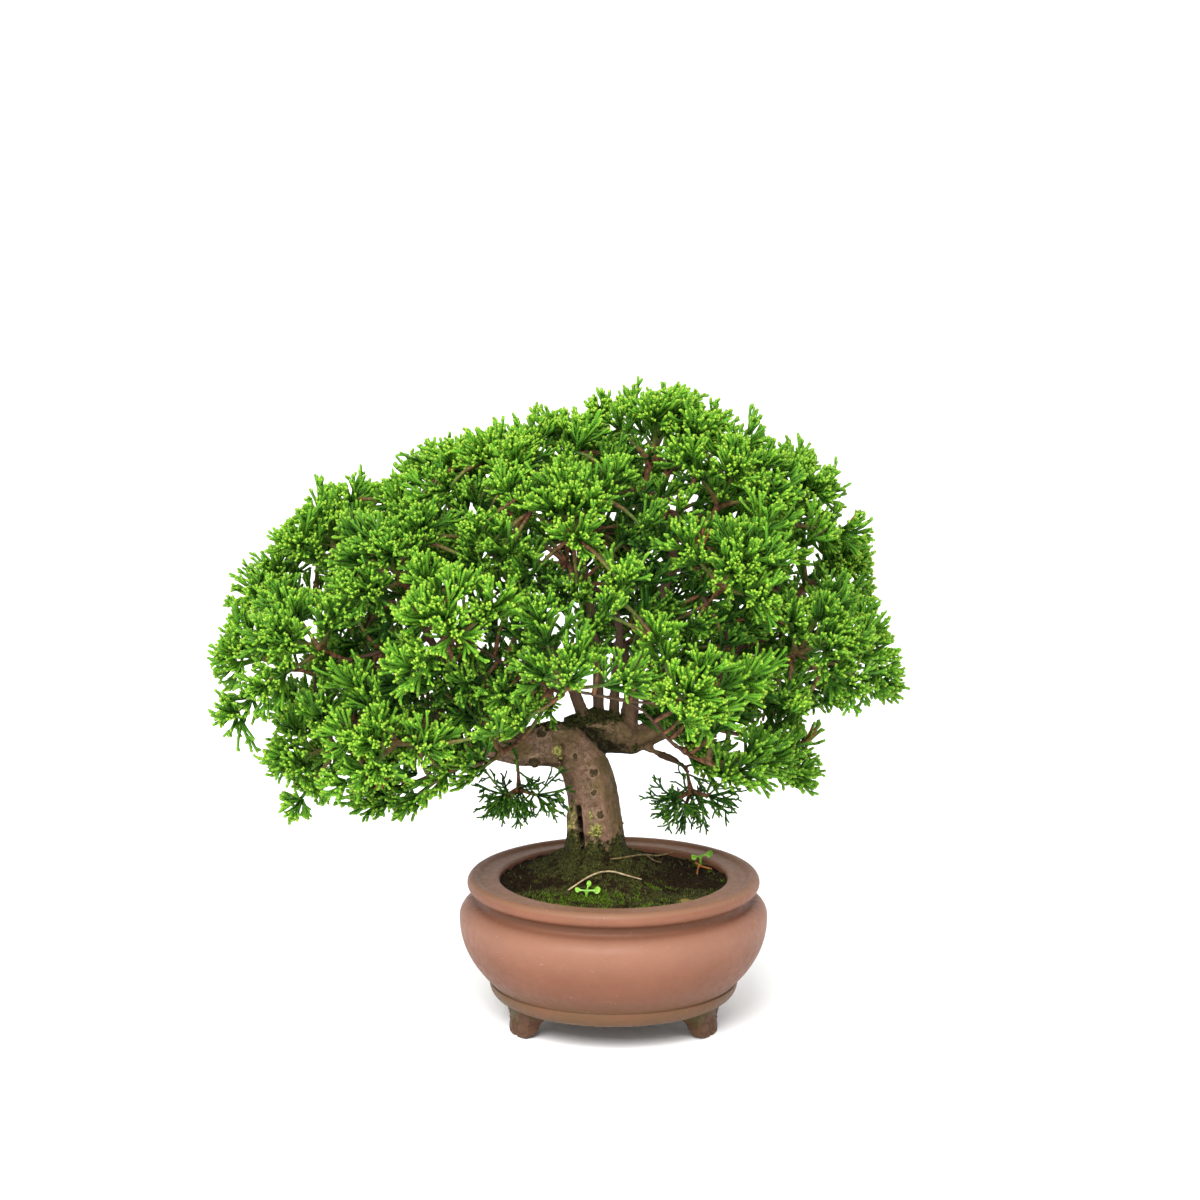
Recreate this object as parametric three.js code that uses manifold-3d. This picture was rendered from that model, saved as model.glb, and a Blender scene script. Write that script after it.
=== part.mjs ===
// A Chinese juniper bonsai about 320 mm high, in a round unglazed clay pot on three cloud feet.
// Millimetres, +Z up. While it is modelled, the pot's axis is the line x = 0, y = 0, the front looks
// along -Y, and the feet stand on z = 0. At the end the group is moved so that the middle of its
// bounding box stands at the origin.
import * as THREE from "three";
import { mergeVertices } from "three/addons/utils/BufferGeometryUtils.js";
import Module from "manifold-3d";

const wasm = await Module();
wasm.setup();

// Pot
const bellyRadius = 75.2;
const bellyHeight = 53.6;
const mouthRadius = 55.5;
const rimTop = 72.9;
const beadRadius = 3.7;
const beadCentre = { r: 67.6, z: 70.3 };
const neckRadius = 66.4;
const shoulderHeight = 61.4;
const beltRadius = 60.8;
const beltHeight = 20.8;
const baseRadius = 54.2;
const baseHeight = 13.4;
const flankPower = 2.2;
const beltLedge = 0.8;
const floorHeight = 19;
const drainRadius = 8;
const potSegments = 38;
const footAzimuths = [-60, 60, 180];
const footOuter = 55.2;
const footDepth = 14;
const treadDepth = 5;
const footShoulder = 12;
const footTop = 15.6;
const grooveHeight = 10;

// Soil
const soilLevel = 70.4;
const moundHeight = 18;
const moundCentre = { x: -9, y: 8 };
const moundSpread = 26;
const soilSegments = 25;
const screenRadius = 13;
const screenThickness = 1;
const seedlingStemRadius = 0.5;
const seedlingDepth = 2.4;
const leafThickness = 0.7;
const stalkRadius = 0.34;
const fitGap = 0.35;

// Crown
const crownCentre = new THREE.Vector3(-29, 0, 205);
const crownHalfDepth = 130;
const sprayCount = 37;
const treeHeart = new THREE.Vector3(-15, 12, 148);
const leastReach = 75;
const sprayReach = 50;
const crownUnderside = 104;
const shootLength = 16;
const stemRadius = 1.1;
const shootRadius = 0.7;
const twigEndRadius = 1.1;
const whorlSpan = 3.2;
const whorlHeight = 1.5;
const tipCandidates = 1600;

// The crown's outline seen from the front, in mm from the pot's axis and from the ground.
const crownOutline = [
  [138, 186], [130, 235], [113, 264], [89, 292], [60, 302], [25, 315], [5, 307], [-30, 301],
  [-73, 291], [-104, 280], [-124, 264], [-146, 262], [-158, 248], [-180, 236], [-189, 210],
  [-195, 184], [-189, 164], [-176, 139], [-143, 117], [-118, 106], [-100, 110], [-70, 132],
  [-46, 158], [-7, 158], [13, 130], [40, 112], [61, 121], [100, 122], [115, 139], [129, 161],
];

// A repeatable source of random numbers from 0 to 1.
function seededRandom(seed) {
  let state = seed;
  return () => {
    state = (state + 0x6d2b79f5) | 0;
    let mixed = Math.imul(state ^ (state >>> 15), 1 | state);
    mixed = (mixed + Math.imul(mixed ^ (mixed >>> 7), 61 | mixed)) ^ mixed;
    return ((mixed ^ (mixed >>> 14)) >>> 0) / 4294967296;
  };
}

const random = seededRandom(20417);
const between = (low, high) => low + (high - low) * random();
const vec = (x, y, z) => new THREE.Vector3(x, y, z);
const radians = THREE.MathUtils.degToRad;

// A geometry as a solid that can be joined and cut. Triangles that have lost an edge are dropped.
function toSolid(geometry) {
  const bare = new THREE.BufferGeometry();
  bare.setAttribute("position", geometry.getAttribute("position"));
  if (geometry.index) bare.setIndex(geometry.index);
  const merged = mergeVertices(bare, 1e-4);
  const kept = [];
  for (let i = 0; i < merged.index.count; i += 3) {
    const corner = [0, 1, 2].map((k) => merged.index.getX(i + k));
    if (new Set(corner).size === 3) kept.push(...corner);
  }
  return new wasm.Manifold(
    new wasm.Mesh({
      numProp: 3,
      vertProperties: merged.attributes.position.array,
      triVerts: new Uint32Array(kept),
    }),
  );
}

function toGeometry(solid) {
  const mesh = solid.getMesh();
  const position = new Float32Array(mesh.numVert * 3);
  for (let i = 0; i < mesh.numVert; i++) {
    for (let k = 0; k < 3; k++) position[3 * i + k] = mesh.vertProperties[i * mesh.numProp + k];
  }
  const geometry = new THREE.BufferGeometry();
  geometry.setAttribute("position", new THREE.BufferAttribute(position, 3));
  geometry.setIndex(new THREE.BufferAttribute(mesh.triVerts, 1));
  geometry.computeVertexNormals();
  return geometry;
}

function indexedGeometry(points, faces) {
  const geometry = new THREE.BufferGeometry();
  const numbers = points.flatMap((point) => point.toArray());
  geometry.setAttribute("position", new THREE.Float32BufferAttribute(numbers, 3));
  geometry.setIndex(faces.flat());
  return geometry;
}

// A closed tube along a curve, with its width given by how far along and how far round it is. It may
// stop at an earlier ring than the curve's last.
function loft(curve, steps, sides, widthAt, lastStep = steps) {
  const frames = curve.computeFrenetFrames(steps, false);
  const points = [];
  const faces = [];
  for (let i = 0; i <= lastStep; i++) {
    const centre = curve.getPointAt(i / steps);
    for (let j = 0; j < sides; j++) {
      const turn = (2 * Math.PI * j) / sides;
      const width = widthAt(i / steps, turn);
      const corner = centre.clone();
      corner.addScaledVector(frames.normals[i], width * Math.cos(turn));
      corner.addScaledVector(frames.binormals[i], width * Math.sin(turn));
      points.push(corner);
    }
  }
  for (let i = 0; i < lastStep; i++) {
    for (let j = 0; j < sides; j++) {
      const here = i * sides + j;
      const beside = i * sides + ((j + 1) % sides);
      faces.push([here, beside, here + sides], [beside, beside + sides, here + sides]);
    }
  }
  const last = lastStep * sides;
  for (let j = 1; j < sides - 1; j++) {
    faces.push([0, j + 1, j], [last, last + j, last + j + 1]);
  }
  return indexedGeometry(points, faces);
}

const lathe = (outline, segments) => {
  const turned = new THREE.LatheGeometry(outline.map(([r, z]) => new THREE.Vector2(r, z)), segments);
  return turned.rotateX(Math.PI / 2);
};

const arc = (centre, width, height, from, to, count) =>
  Array.from({ length: count }, (_, i) => {
    const turn = radians(from + ((to - from) * i) / (count - 1));
    return [centre.r + width * Math.cos(turn), centre.z + height * Math.sin(turn)];
  });

// The bowl's flank between the belly and the belt, full at first and drawn in at the bottom.
function flank(count) {
  return Array.from({ length: count }, (_, i) => {
    const drop = 1 - i / count;
    const fall = bellyRadius - beltRadius + beltLedge;
    const height = bellyHeight - beltHeight - beltLedge;
    return [bellyRadius - fall * drop ** flankPower, bellyHeight - height * drop];
  });
}

// The inside of the bowl, from the mouth down to the floor.
const floorRadius = 49;
const innerWall = [
  [mouthRadius, rimTop - 1.5], [mouthRadius + 1, 62], [66, 54], [66, 44], [57.5, 25],
  [floorRadius, floorHeight],
];

function potOutline() {
  const belt = arc(
    { r: baseRadius, z: beltHeight }, beltRadius - baseRadius, beltHeight - baseHeight, -90, 0, 3,
  );
  const shoulder = arc(
    { r: neckRadius, z: bellyHeight }, bellyRadius - neckRadius, shoulderHeight - bellyHeight, 0, 90, 3,
  );
  const bead = arc(beadCentre, beadRadius, beadRadius, -75, 120, 5);
  return [
    [drainRadius, baseHeight], ...belt, ...flank(4), ...shoulder,
    [neckRadius, beadCentre.z - beadRadius - 0.2], ...bead, [beadCentre.r - 2.4, rimTop - 0.4],
    [mouthRadius + 2, rimTop], ...innerWall,
    [drainRadius, floorHeight], [drainRadius, baseHeight],
  ];
}

// One cloud foot: a scrolled bracket with a groove down its face, set square to the pot's radius. Its
// back slopes, so that it stands on a narrow tread.
function footSolid(azimuth) {
  const lobes = [[6.8, 0], [8.8, 1.8], [9.2, 4.8], [8.2, 6.9], [10.2, 9.1]];
  const half = [...lobes, [12.4, footShoulder], [12.8, footTop]];
  const outline = [...half, ...half.map(([s, z]) => [-s, z]).reverse()];
  const shape = new THREE.Shape(outline.map(([s, z]) => new THREE.Vector2(s, z)));
  const block = new THREE.ExtrudeGeometry(shape, { depth: footDepth, bevelEnabled: false });
  block.rotateX(Math.PI / 2).translate(0, footDepth, 0);
  const position = block.getAttribute("position");
  for (let i = 0; i < position.count; i++) {
    const share = Math.min(1, position.getZ(i) / footShoulder);
    position.setY(i, (position.getY(i) * THREE.MathUtils.lerp(treadDepth, footDepth, share)) / footDepth);
  }
  block.translate(0, -footOuter, 0);
  const notch = new THREE.Shape([[0, 1.8], [-1.5, -1], [1.5, -1]].map(([s, y]) => new THREE.Vector2(s, y)));
  const groove = new THREE.ExtrudeGeometry(notch, { depth: grooveHeight, bevelEnabled: false });
  groove.translate(0, -footOuter, -1);
  const foot = toSolid(block).subtract(toSolid(groove));
  return foot.rotate([0, 0, azimuth]);
}

function potSolid() {
  let pot = toSolid(lathe(potOutline(), potSegments));
  if (pot.volume() < 0) pot = toSolid(lathe(potOutline().reverse(), potSegments));
  for (const azimuth of footAzimuths) pot = pot.add(footSolid(azimuth));
  return pot;
}

// Height of the soil's surface, with the mound of roots and moss around the trunk.
function soilTop(x, y) {
  const away = Math.hypot(x - moundCentre.x, (y - moundCentre.y) * 0.9) / moundSpread;
  const bumps = 0.7 * Math.sin(0.31 * x + 0.9) * Math.cos(0.27 * y) + 0.5 * Math.sin(0.55 * y + 0.4 * x);
  return soilLevel + moundHeight * Math.exp(-(away ** 2.4)) + bumps;
}

function soilSolid() {
  const wall = innerWall.slice(1).map(([r, z]) => [r - fitGap, z]);
  const bottom = floorHeight + fitGap;
  const side = [[0, bottom], [floorRadius - fitGap, bottom], ...wall.slice(0, -1).reverse()];
  const topRadii = [54.8, 45, 35, 26, 17, 8, 0];
  const profile = [...side, ...topRadii.map((r) => [r, soilLevel])];
  const body = lathe(profile, soilSegments);
  const position = body.getAttribute("position");
  for (let i = 0; i < position.count; i++) {
    if (Math.abs(position.getZ(i) - soilLevel) < 1e-3) {
      position.setZ(i, soilTop(position.getX(i), position.getY(i)));
    }
  }
  return toSolid(body);
}

const curveThrough = (stations) => new THREE.CatmullRomCurve3(stations.map(([x, y, z]) => vec(x, y, z)));

// Radius at a share of a curve's length, read between the stations that carry it.
function radiusAlong(stations) {
  const lengths = [0];
  for (let i = 1; i < stations.length; i++) {
    lengths.push(lengths[i - 1] + vec(...stations[i]).distanceTo(vec(...stations[i - 1])));
  }
  const total = lengths[lengths.length - 1];
  return (share) => {
    const along = share * total;
    let i = 1;
    while (i < lengths.length - 1 && lengths[i] < along) i++;
    const part = (along - lengths[i - 1]) / (lengths[i] - lengths[i - 1]);
    return THREE.MathUtils.lerp(stations[i - 1][3], stations[i][3], Math.min(1, Math.max(0, part)));
  };
}

// Each limb: places x, y, z with the radius there. The trunk bends hard over to the left, and an old
// cut stub behind it carries the right half of the crown.
const trunk = [
  [-9, 10, 62, 14.2], [-9, 10, 76, 14.2], [-8.6, 9.4, 88, 13.6], [-8.8, 8.6, 100, 12.9],
  [-10.2, 7.8, 113, 12.4], [-14.4, 7, 127, 12.4], [-21, 5.4, 136, 12.2], [-32, 3.6, 138.5, 11.4],
  [-43, 2, 136.5, 9.8], [-55, 1, 137, 7.4], [-66, 0, 137.5, 5.2], [-76, -3, 136, 3.9], [-88, -5, 135, 3.3],
];
const limbs = {
  stub: [[-23, 11, 141, 9], [-12, 14, 142, 11.2], [2, 17, 139.5, 10.8], [12, 18, 136.4, 7.2],
    [24, 20, 143, 6.6], [38, 21, 150, 5.8], [58, 18, 163, 4.4], [80, 12, 176, 3.3], [100, 5, 190, 2.2]],
  leftTip: [[-84, -5, 135.4, 3.3], [-105, -5, 141, 2.8], [-130, 0, 150, 2.2], [-150, 4, 162, 1.3]],
  leftFront: [[-54, 1, 138, 3.4], [-66, -10, 158, 2.9], [-82, -24, 186, 2.3], [-94, -34, 214, 1.3]],
  leftBack: [[-43, 4, 140, 3.4], [-58, 25, 160, 2.9], [-80, 46, 185, 2.3], [-102, 56, 206, 1.3]],
  riseLeft: [[-14, 13, 148, 3.6], [-22, 10, 170, 3], [-40, 5, 200, 2.4], [-60, 0, 238, 1.3]],
  riseBack: [[-7, 17, 148, 3.2], [-8, 24, 176, 2.8], [-14, 38, 214, 2.2], [-22, 50, 252, 1.3]],
  riseFront: [[0, 17, 147, 3], [1, 12, 172, 2.7], [3, -12, 198, 2.3], [-2, -46, 222, 1.3]],
  riseRight: [[8, 17, 144, 4.2], [9, 16, 165, 3.8], [18, 14, 192, 3], [29, 10, 230, 2.3],
    [32, 5, 264, 1.3]],
  rightFront: [[44, 20, 154, 3.2], [58, 0, 184, 2.7], [74, -22, 214, 2.2], [86, -32, 242, 1.3]],
  rightBack: [[50, 19, 158, 3], [56, 45, 182, 2.5], [66, 66, 212, 1.3]],
  low: [[13, 17, 134, 2.4], [20, 14, 131.5, 2], [27, 11, 129.5, 1.7], [31, 9, 128, 1.3]],
  back: [[4, 24, 140, 3], [8, 46, 156, 2.4], [4, 72, 178, 1.3]],
};

const sidesFor = (radius) => (radius > 8 ? 9 : radius > 3.9 ? 6 : radius > 3.1 ? 5 : 4);

// Bark ridges that run with the grain, and swellings where old branches were cut.
function trunkWidth(share, turn) {
  const ridges = 0.5 * Math.sin(5 * turn + 9 * share) + 0.4 * Math.sin(3 * turn - 14 * share + 1);
  const flare = 3.2 * Math.exp(-(((share - 0.1) / 0.07) ** 2)) * (0.6 + 0.4 * Math.cos(4 * turn + 0.6));
  return radiusAlong(trunk)(share) + (share > 0.8 ? 0.3 : 1) * ridges + flare;
}

const woodCapsules = [];

function addWoodCapsules(curve, steps, radiusAt) {
  for (let i = 0; i < steps; i++) {
    woodCapsules.push({
      from: curve.getPointAt(i / steps),
      to: curve.getPointAt((i + 1) / steps),
      radius: Math.max(radiusAt(i / steps), radiusAt((i + 1) / steps)),
    });
  }
}

// Points of the wood that a twig may start from, with the way that the wood runs there. They lie on
// the straight stretches between a tube's rings.
const forks = [];

function addForks(limb, curve, steps, radiusAt, from, to) {
  for (let i = 0; i < steps; i++) {
    const [start, end] = [curve.getPointAt(i / steps), curve.getPointAt((i + 1) / steps)];
    for (const part of [0, 0.33, 0.67]) {
      const share = (i + part) / steps;
      if (share < from || share > to) continue;
      const way = end.clone().sub(start).normalize();
      forks.push({ at: start.clone().lerp(end, part), way, radius: radiusAt(share), limb, step: i + 1 });
    }
  }
}

// A limb ends at the ring after its last twig.
class Limb {
  constructor(stations) {
    this.stations = stations;
    this.curve = curveThrough(stations);
    this.radiusAt = radiusAlong(stations);
    this.steps = Math.ceil((stations.length - 1) * 1.5);
    this.lastStep = 2;
    addWoodCapsules(this.curve, this.steps, this.radiusAt);
    addForks(this, this.curve, this.steps, this.radiusAt, 0, 1);
  }

  solid() {
    const sides = sidesFor(this.stations[0][3]);
    return toSolid(loft(this.curve, this.steps, sides, this.radiusAt, this.lastStep));
  }
}

const trunkSteps = 20;
const trunkSides = 12;

function trunkSolid(swell) {
  const widthAt = (share, turn) => trunkWidth(share, turn) + swell;
  return toSolid(loft(curveThrough(trunk), trunkSteps, trunkSides, widthAt));
}

// The dead stub that stands in front of the trunk's left side, with a deep cleft between them.
const pillar = [
  [-17, 4, 74, 4.6], [-18.4, 1, 86, 4], [-19.6, -0.5, 97, 3.4], [-20.4, -1.4, 108, 2.4],
  [-19.8, -1.6, 111.5, 1.2],
];
const pillarSteps = 5;
const pillarSides = 7;

function pillarSolid(swell) {
  const widthAt = radiusAlong(pillar);
  return toSolid(loft(curveThrough(pillar), pillarSteps, pillarSides, (share) => widthAt(share) + swell));
}

// The cleft leans with the stub, along the stub's right edge.
const cleft = { x: -15.6, y: -1.4, z: 92, width: 1.7, depth: 9, height: 32, lean: radians(-6) };

function cleftSolid() {
  const slot = new THREE.BoxGeometry(cleft.width, cleft.depth, cleft.height);
  return toSolid(slot.rotateY(cleft.lean).translate(cleft.x, cleft.y, cleft.z));
}

// Healed cuts on the trunk: x, y, z and radius.
const knots = [
  [-9.6, -3.6, 126, 2.7], [-18.6, -5.6, 134.5, 2.3], [-9.6, -3.8, 116, 2.1], [-6.5, -3.2, 104.6, 2.8],
  [-38, -4.4, 131, 4.2], [-35, -2.5, 146.5, 3.4], [2.9, 6, 97.5, 2.9],
];

const closestOnSegment = (point, from, to) => {
  const line = new THREE.Line3(from, to);
  return line.closestPointToPoint(point, true, vec(0, 0, 0));
};

// Least distance between two segments, by stepping back and forth between their closest points.
function segmentDistance(a, b) {
  let onA = a.from.clone().lerp(a.to, 0.5);
  let onB = closestOnSegment(onA, b.from, b.to);
  for (let i = 0; i < 6; i++) {
    onA = closestOnSegment(onB, a.from, a.to);
    onB = closestOnSegment(onA, b.from, b.to);
  }
  return onA.distanceTo(onB);
}

// Distance from the crown's centre to its outline, at an angle in the front view.
function outlineRadius(angle) {
  const way = new THREE.Vector2(Math.cos(angle), Math.sin(angle));
  let found = 0;
  crownOutline.forEach(([x, z], i) => {
    const [nextX, nextZ] = crownOutline[(i + 1) % crownOutline.length];
    const a = new THREE.Vector2(x - crownCentre.x, z - crownCentre.z);
    const edge = new THREE.Vector2(nextX - x, nextZ - z);
    const cross = way.cross(edge);
    if (Math.abs(cross) < 1e-9) return;
    const reach = a.cross(edge) / cross;
    const share = a.cross(way) / cross;
    if (reach > 0 && share >= 0 && share <= 1) found = Math.max(found, reach);
  });
  return found;
}

// The crown's surface in a direction: the front outline swept back over the crown's depth.
function crownSurface(way) {
  const angle = Math.atan2(way.z, way.x);
  const flat = Math.hypot(way.x, way.z);
  const reach = outlineRadius(angle) * flat;
  return vec(
    crownCentre.x + reach * Math.cos(angle),
    crownCentre.y + crownHalfDepth * way.y,
    crownCentre.z + reach * Math.sin(angle),
  );
}

// True where nothing hangs, so that the trunk and the fork of the limbs are seen from the front and a
// little above. What stands nearer is seen lower.
function inOpenSpace(point) {
  const across = (point.x + 10) / 56;
  const up = (point.z + 0.27 * point.y - 112) / 52;
  return across ** 2 + up ** 2 < 1;
}

// True outside the crown's surface.
function beyondCrown(point) {
  const way = point.clone().sub(crownCentre);
  const depth = way.y / crownHalfDepth;
  const flat = Math.hypot(way.x, way.z) / outlineRadius(Math.atan2(way.z, way.x));
  return Math.hypot(depth, flat) > 1.02;
}

// Tips of the sprays, spread evenly over the crown: each new one is the candidate that lies farthest
// from the rest.
function sprayTips() {
  const candidates = [];
  for (let i = 0; i < tipCandidates; i++) {
    const height = between(-1, 1);
    const turn = between(0, 2 * Math.PI);
    const ring = Math.sqrt(1 - height * height);
    const tip = crownSurface(vec(ring * Math.cos(turn), ring * Math.sin(turn), height));
    const low = tip.z < crownUnderside || tip.distanceTo(treeHeart) < leastReach;
    if (!low && !inOpenSpace(tip)) candidates.push(tip);
  }
  const tips = [vec(25, 0, 313), vec(-193, 4, 186), vec(136, 0, 190), vec(-118, -10, 110)];
  while (tips.length < sprayCount) {
    let best = candidates[0];
    let bestGap = 0;
    for (const candidate of candidates) {
      const gap = Math.min(...tips.map((tip) => tip.distanceTo(candidate)));
      if (gap > bestGap) [best, bestGap] = [candidate, gap];
    }
    tips.push(best);
  }
  return tips;
}

function distanceToWood(point) {
  return Math.min(...woodCapsules.map(({ from, to, radius }) => (
    closestOnSegment(point, from, to).distanceTo(point) - radius
  )));
}

// Where a spray leaves its twig, and which way it grows: outwards, and up except in the low skirts.
function sprayFrame(tip) {
  const { lerp } = THREE.MathUtils;
  const heart = vec(lerp(-20, tip.x, 0.45), lerp(0, tip.y, 0.3), lerp(150, tip.z, 0.3));
  const way = tip.clone().sub(heart).normalize();
  let length = Math.min(sprayReach, 0.6 * tip.distanceTo(treeHeart));
  const baseAt = () => tip.clone().addScaledVector(way, -length);
  while (length > 26 && distanceToWood(baseAt()) < 5) length -= 2;
  return { tip, way, length, base: baseAt() };
}

// Two little sprays that hang under the crown, on either side of the trunk.
const hangingSprays = [
  { base: vec(-46, -9, 127.5), tip: vec(-46, -12, 118.5) },
  { base: vec(36, 1, 124), tip: vec(38, -3, 111) },
].map(({ base, tip }) => (
  { base, tip, way: tip.clone().sub(base).normalize(), length: base.distanceTo(tip), hangs: true }
));

// A twig from the nearest wood to a spray's base. Later twigs may start from it.
function twigSolid(frame, end) {
  let best = null;
  let bestCost = Infinity;
  for (const fork of forks) {
    const gap = end.clone().sub(fork.at);
    const distance = gap.length();
    if (distance < 5) continue;
    const turnBack = 1 - gap.dot(fork.way) / distance;
    const cost = distance * (1 + 0.35 * turnBack) - 2 * Math.min(fork.radius, 3);
    if (cost < bestCost) [best, bestCost] = [fork, cost];
  }
  const distance = best.at.distanceTo(end);
  const straight = end.clone().sub(best.at).normalize();
  const leave = straight.clone().add(best.way).add(vec(0, 0, 0.2)).normalize();
  const arrive = straight.clone().addScaledVector(frame.way, 2.5).normalize();
  const curve = new THREE.CubicBezierCurve3(
    best.at,
    best.at.clone().addScaledVector(leave, 0.3 * distance),
    end.clone().addScaledVector(arrive, -0.3 * distance),
    end,
  );
  const start = Math.min(best.radius * 0.8, twigEndRadius + 0.012 * distance);
  const radiusAt = (share) => THREE.MathUtils.lerp(start, twigEndRadius, share);
  const steps = distance > 45 ? 4 : distance > 22 ? 3 : 2;
  addWoodCapsules(curve, steps, radiusAt);
  for (const capsule of woodCapsules.slice(-2)) capsule.feeds = frame;
  addForks(null, curve, steps, radiusAt, 0.25, 0.8);
  if (best.limb) best.limb.lastStep = Math.max(best.limb.lastStep, best.step);
  return toSolid(loft(curve, steps, 3, radiusAt));
}

// A leafy spray as one skin. Every stem and shoot is drawn out of a triangle of what carries it, so
// the skin stays closed and nothing has to be joined.
class Spray {
  constructor(name, hangs) {
    this.name = name;
    this.hangs = hangs;
    this.points = [];
    this.faces = [];
  }

  addRing(centre, way, radius, near) {
    const side = near ? near.clone() : vec(way.z, way.x, way.y);
    side.addScaledVector(way, -side.dot(way)).normalize();
    const other = way.clone().cross(side);
    return [0, 1, 2].map((k) => {
      const turn = (2 * Math.PI * k) / 3;
      const corner = centre.clone().addScaledVector(side, radius * Math.cos(turn));
      this.points.push(corner.addScaledVector(other, radius * Math.sin(turn)));
      return this.points.length - 1;
    });
  }

  start(centre, way, radius) {
    const ring = this.addRing(centre, way, radius);
    this.faces.push([ring[0], ring[2], ring[1]], [...ring]);
    return this.faces.length - 1;
  }

  // Draws a face out to a new ring, turned a sixth against the old one, and gives the six side faces.
  drawOut(face, centre, way, radius) {
    const old = this.faces[face];
    const middle = this.middleOf(face);
    const lead = this.points[old[0]].clone().add(this.points[old[1]]).multiplyScalar(0.5).sub(middle);
    const ring = this.addRing(centre, way, radius, lead);
    const sides = [];
    for (let k = 0; k < 3; k++) {
      const [a, b] = [old[k], old[(k + 1) % 3]];
      const [c, d] = [ring[k], ring[(k + 1) % 3]];
      this.faces.push([a, b, c], [b, d, c]);
      sides.push(this.faces.length - 2, this.faces.length - 1);
    }
    this.faces[face] = ring;
    return sides;
  }

  middleOf(face) {
    const middle = vec(0, 0, 0);
    for (const corner of this.faces[face]) middle.add(this.points[corner]);
    return middle.multiplyScalar(1 / 3);
  }

  normalOf(face) {
    const [a, b, c] = this.faces[face].map((corner) => this.points[corner]);
    return b.clone().sub(a).cross(c.clone().sub(a)).normalize();
  }

  // Draws a face out to a point.
  spike(face, tip) {
    const [a, b, c] = this.faces[face];
    const top = this.points.push(tip) - 1;
    this.faces[face] = [a, b, top];
    this.faces.push([b, c, top], [c, a, top]);
  }
}

const greenCapsules = [];

// True where a new stretch of stem or shoot stays clear of the wood, of other sprays and of its own.
function isClear(spray, from, to, radius, family) {
  const capsule = { from, to };
  const middle = from.clone().lerp(to, 0.5);
  const half = from.distanceTo(to) / 2;
  for (const other of [...woodCapsules, ...greenCapsules]) {
    const apart = middle.distanceTo(other.from) - other.from.distanceTo(other.to) - half;
    if (apart > other.radius + radius + 1) continue;
    if (other.feeds && other.feeds === family.frame && family.first) continue;
    const own = other.spray === spray;
    if (own && other.stem && (other.stem === family.stem || other.stem === family.parent)) continue;
    if (own && other.from.distanceTo(from) < whorlSpan) continue;
    const slack = own ? 0.1 : fitGap;
    if (segmentDistance(capsule, other) < other.radius + radius + slack) return false;
  }
  return true;
}

function claim(spray, from, to, radius, stem) {
  greenCapsules.push({ from, to, radius, spray, stem });
}

// A direction that leans from a stem's own direction towards a face's outward side.
function leaning(way, outward, lean, droop) {
  const side = outward.clone().addScaledVector(way, -outward.dot(way)).normalize();
  const mixed = way.clone().multiplyScalar(Math.cos(lean)).addScaledVector(side, Math.sin(lean));
  mixed.z += droop;
  return mixed.normalize();
}

// A stem: bare stretches between short whorls, whose six faces are left open for shoots.
function growStem(spray, face, way, stretches, frame, parent) {
  const stem = { way, whorls: [], end: face, parent };
  let at = spray.middleOf(face);
  let heading = way.clone();
  stretches.forEach((stretch, i) => {
    if (stem.stopped) return;
    const next = at.clone().addScaledVector(heading, stretch);
    const family = { stem, parent, frame, first: i === 0 && !parent };
    if (!isClear(spray, at, next, stemRadius, family)) {
      stem.stopped = true;
      return;
    }
    spray.drawOut(stem.end, next, heading, stemRadius);
    claim(spray, at, next, stemRadius, stem);
    at = next.clone().addScaledVector(heading, whorlHeight);
    stem.whorls.push(spray.drawOut(stem.end, at, heading, stemRadius));
    claim(spray, next, at, stemRadius, stem);
    const wander = vec(between(-0.12, 0.12), between(-0.12, 0.12), between(0, 0.12));
    heading = heading.clone().add(wander).normalize();
  });
  stem.heading = heading;
  return stem;
}

function growShoot(spray, face, way, stem, leanRange) {
  const outward = spray.normalOf(face);
  for (let trial = 0; trial < 4; trial++) {
    const lean = radians(between(...leanRange));
    const aim = leaning(way, outward, lean, 0.12);
    aim.addScaledVector(way.clone().cross(outward), between(-0.22, 0.22)).normalize();
    const from = spray.middleOf(face);
    const length = shootLength * between(0.72, 1.12) * (1 - 0.12 * trial);
    const to = from.clone().addScaledVector(aim, length);
    const inside = !inOpenSpace(to) && (trial === 3 || !beyondCrown(to));
    if (!inside && !spray.hangs) continue;
    if (!isClear(spray, from, to, shootRadius, { stem, parent: stem })) continue;
    spray.spike(face, to);
    claim(spray, from, to, shootRadius, null);
    return;
  }
}

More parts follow.
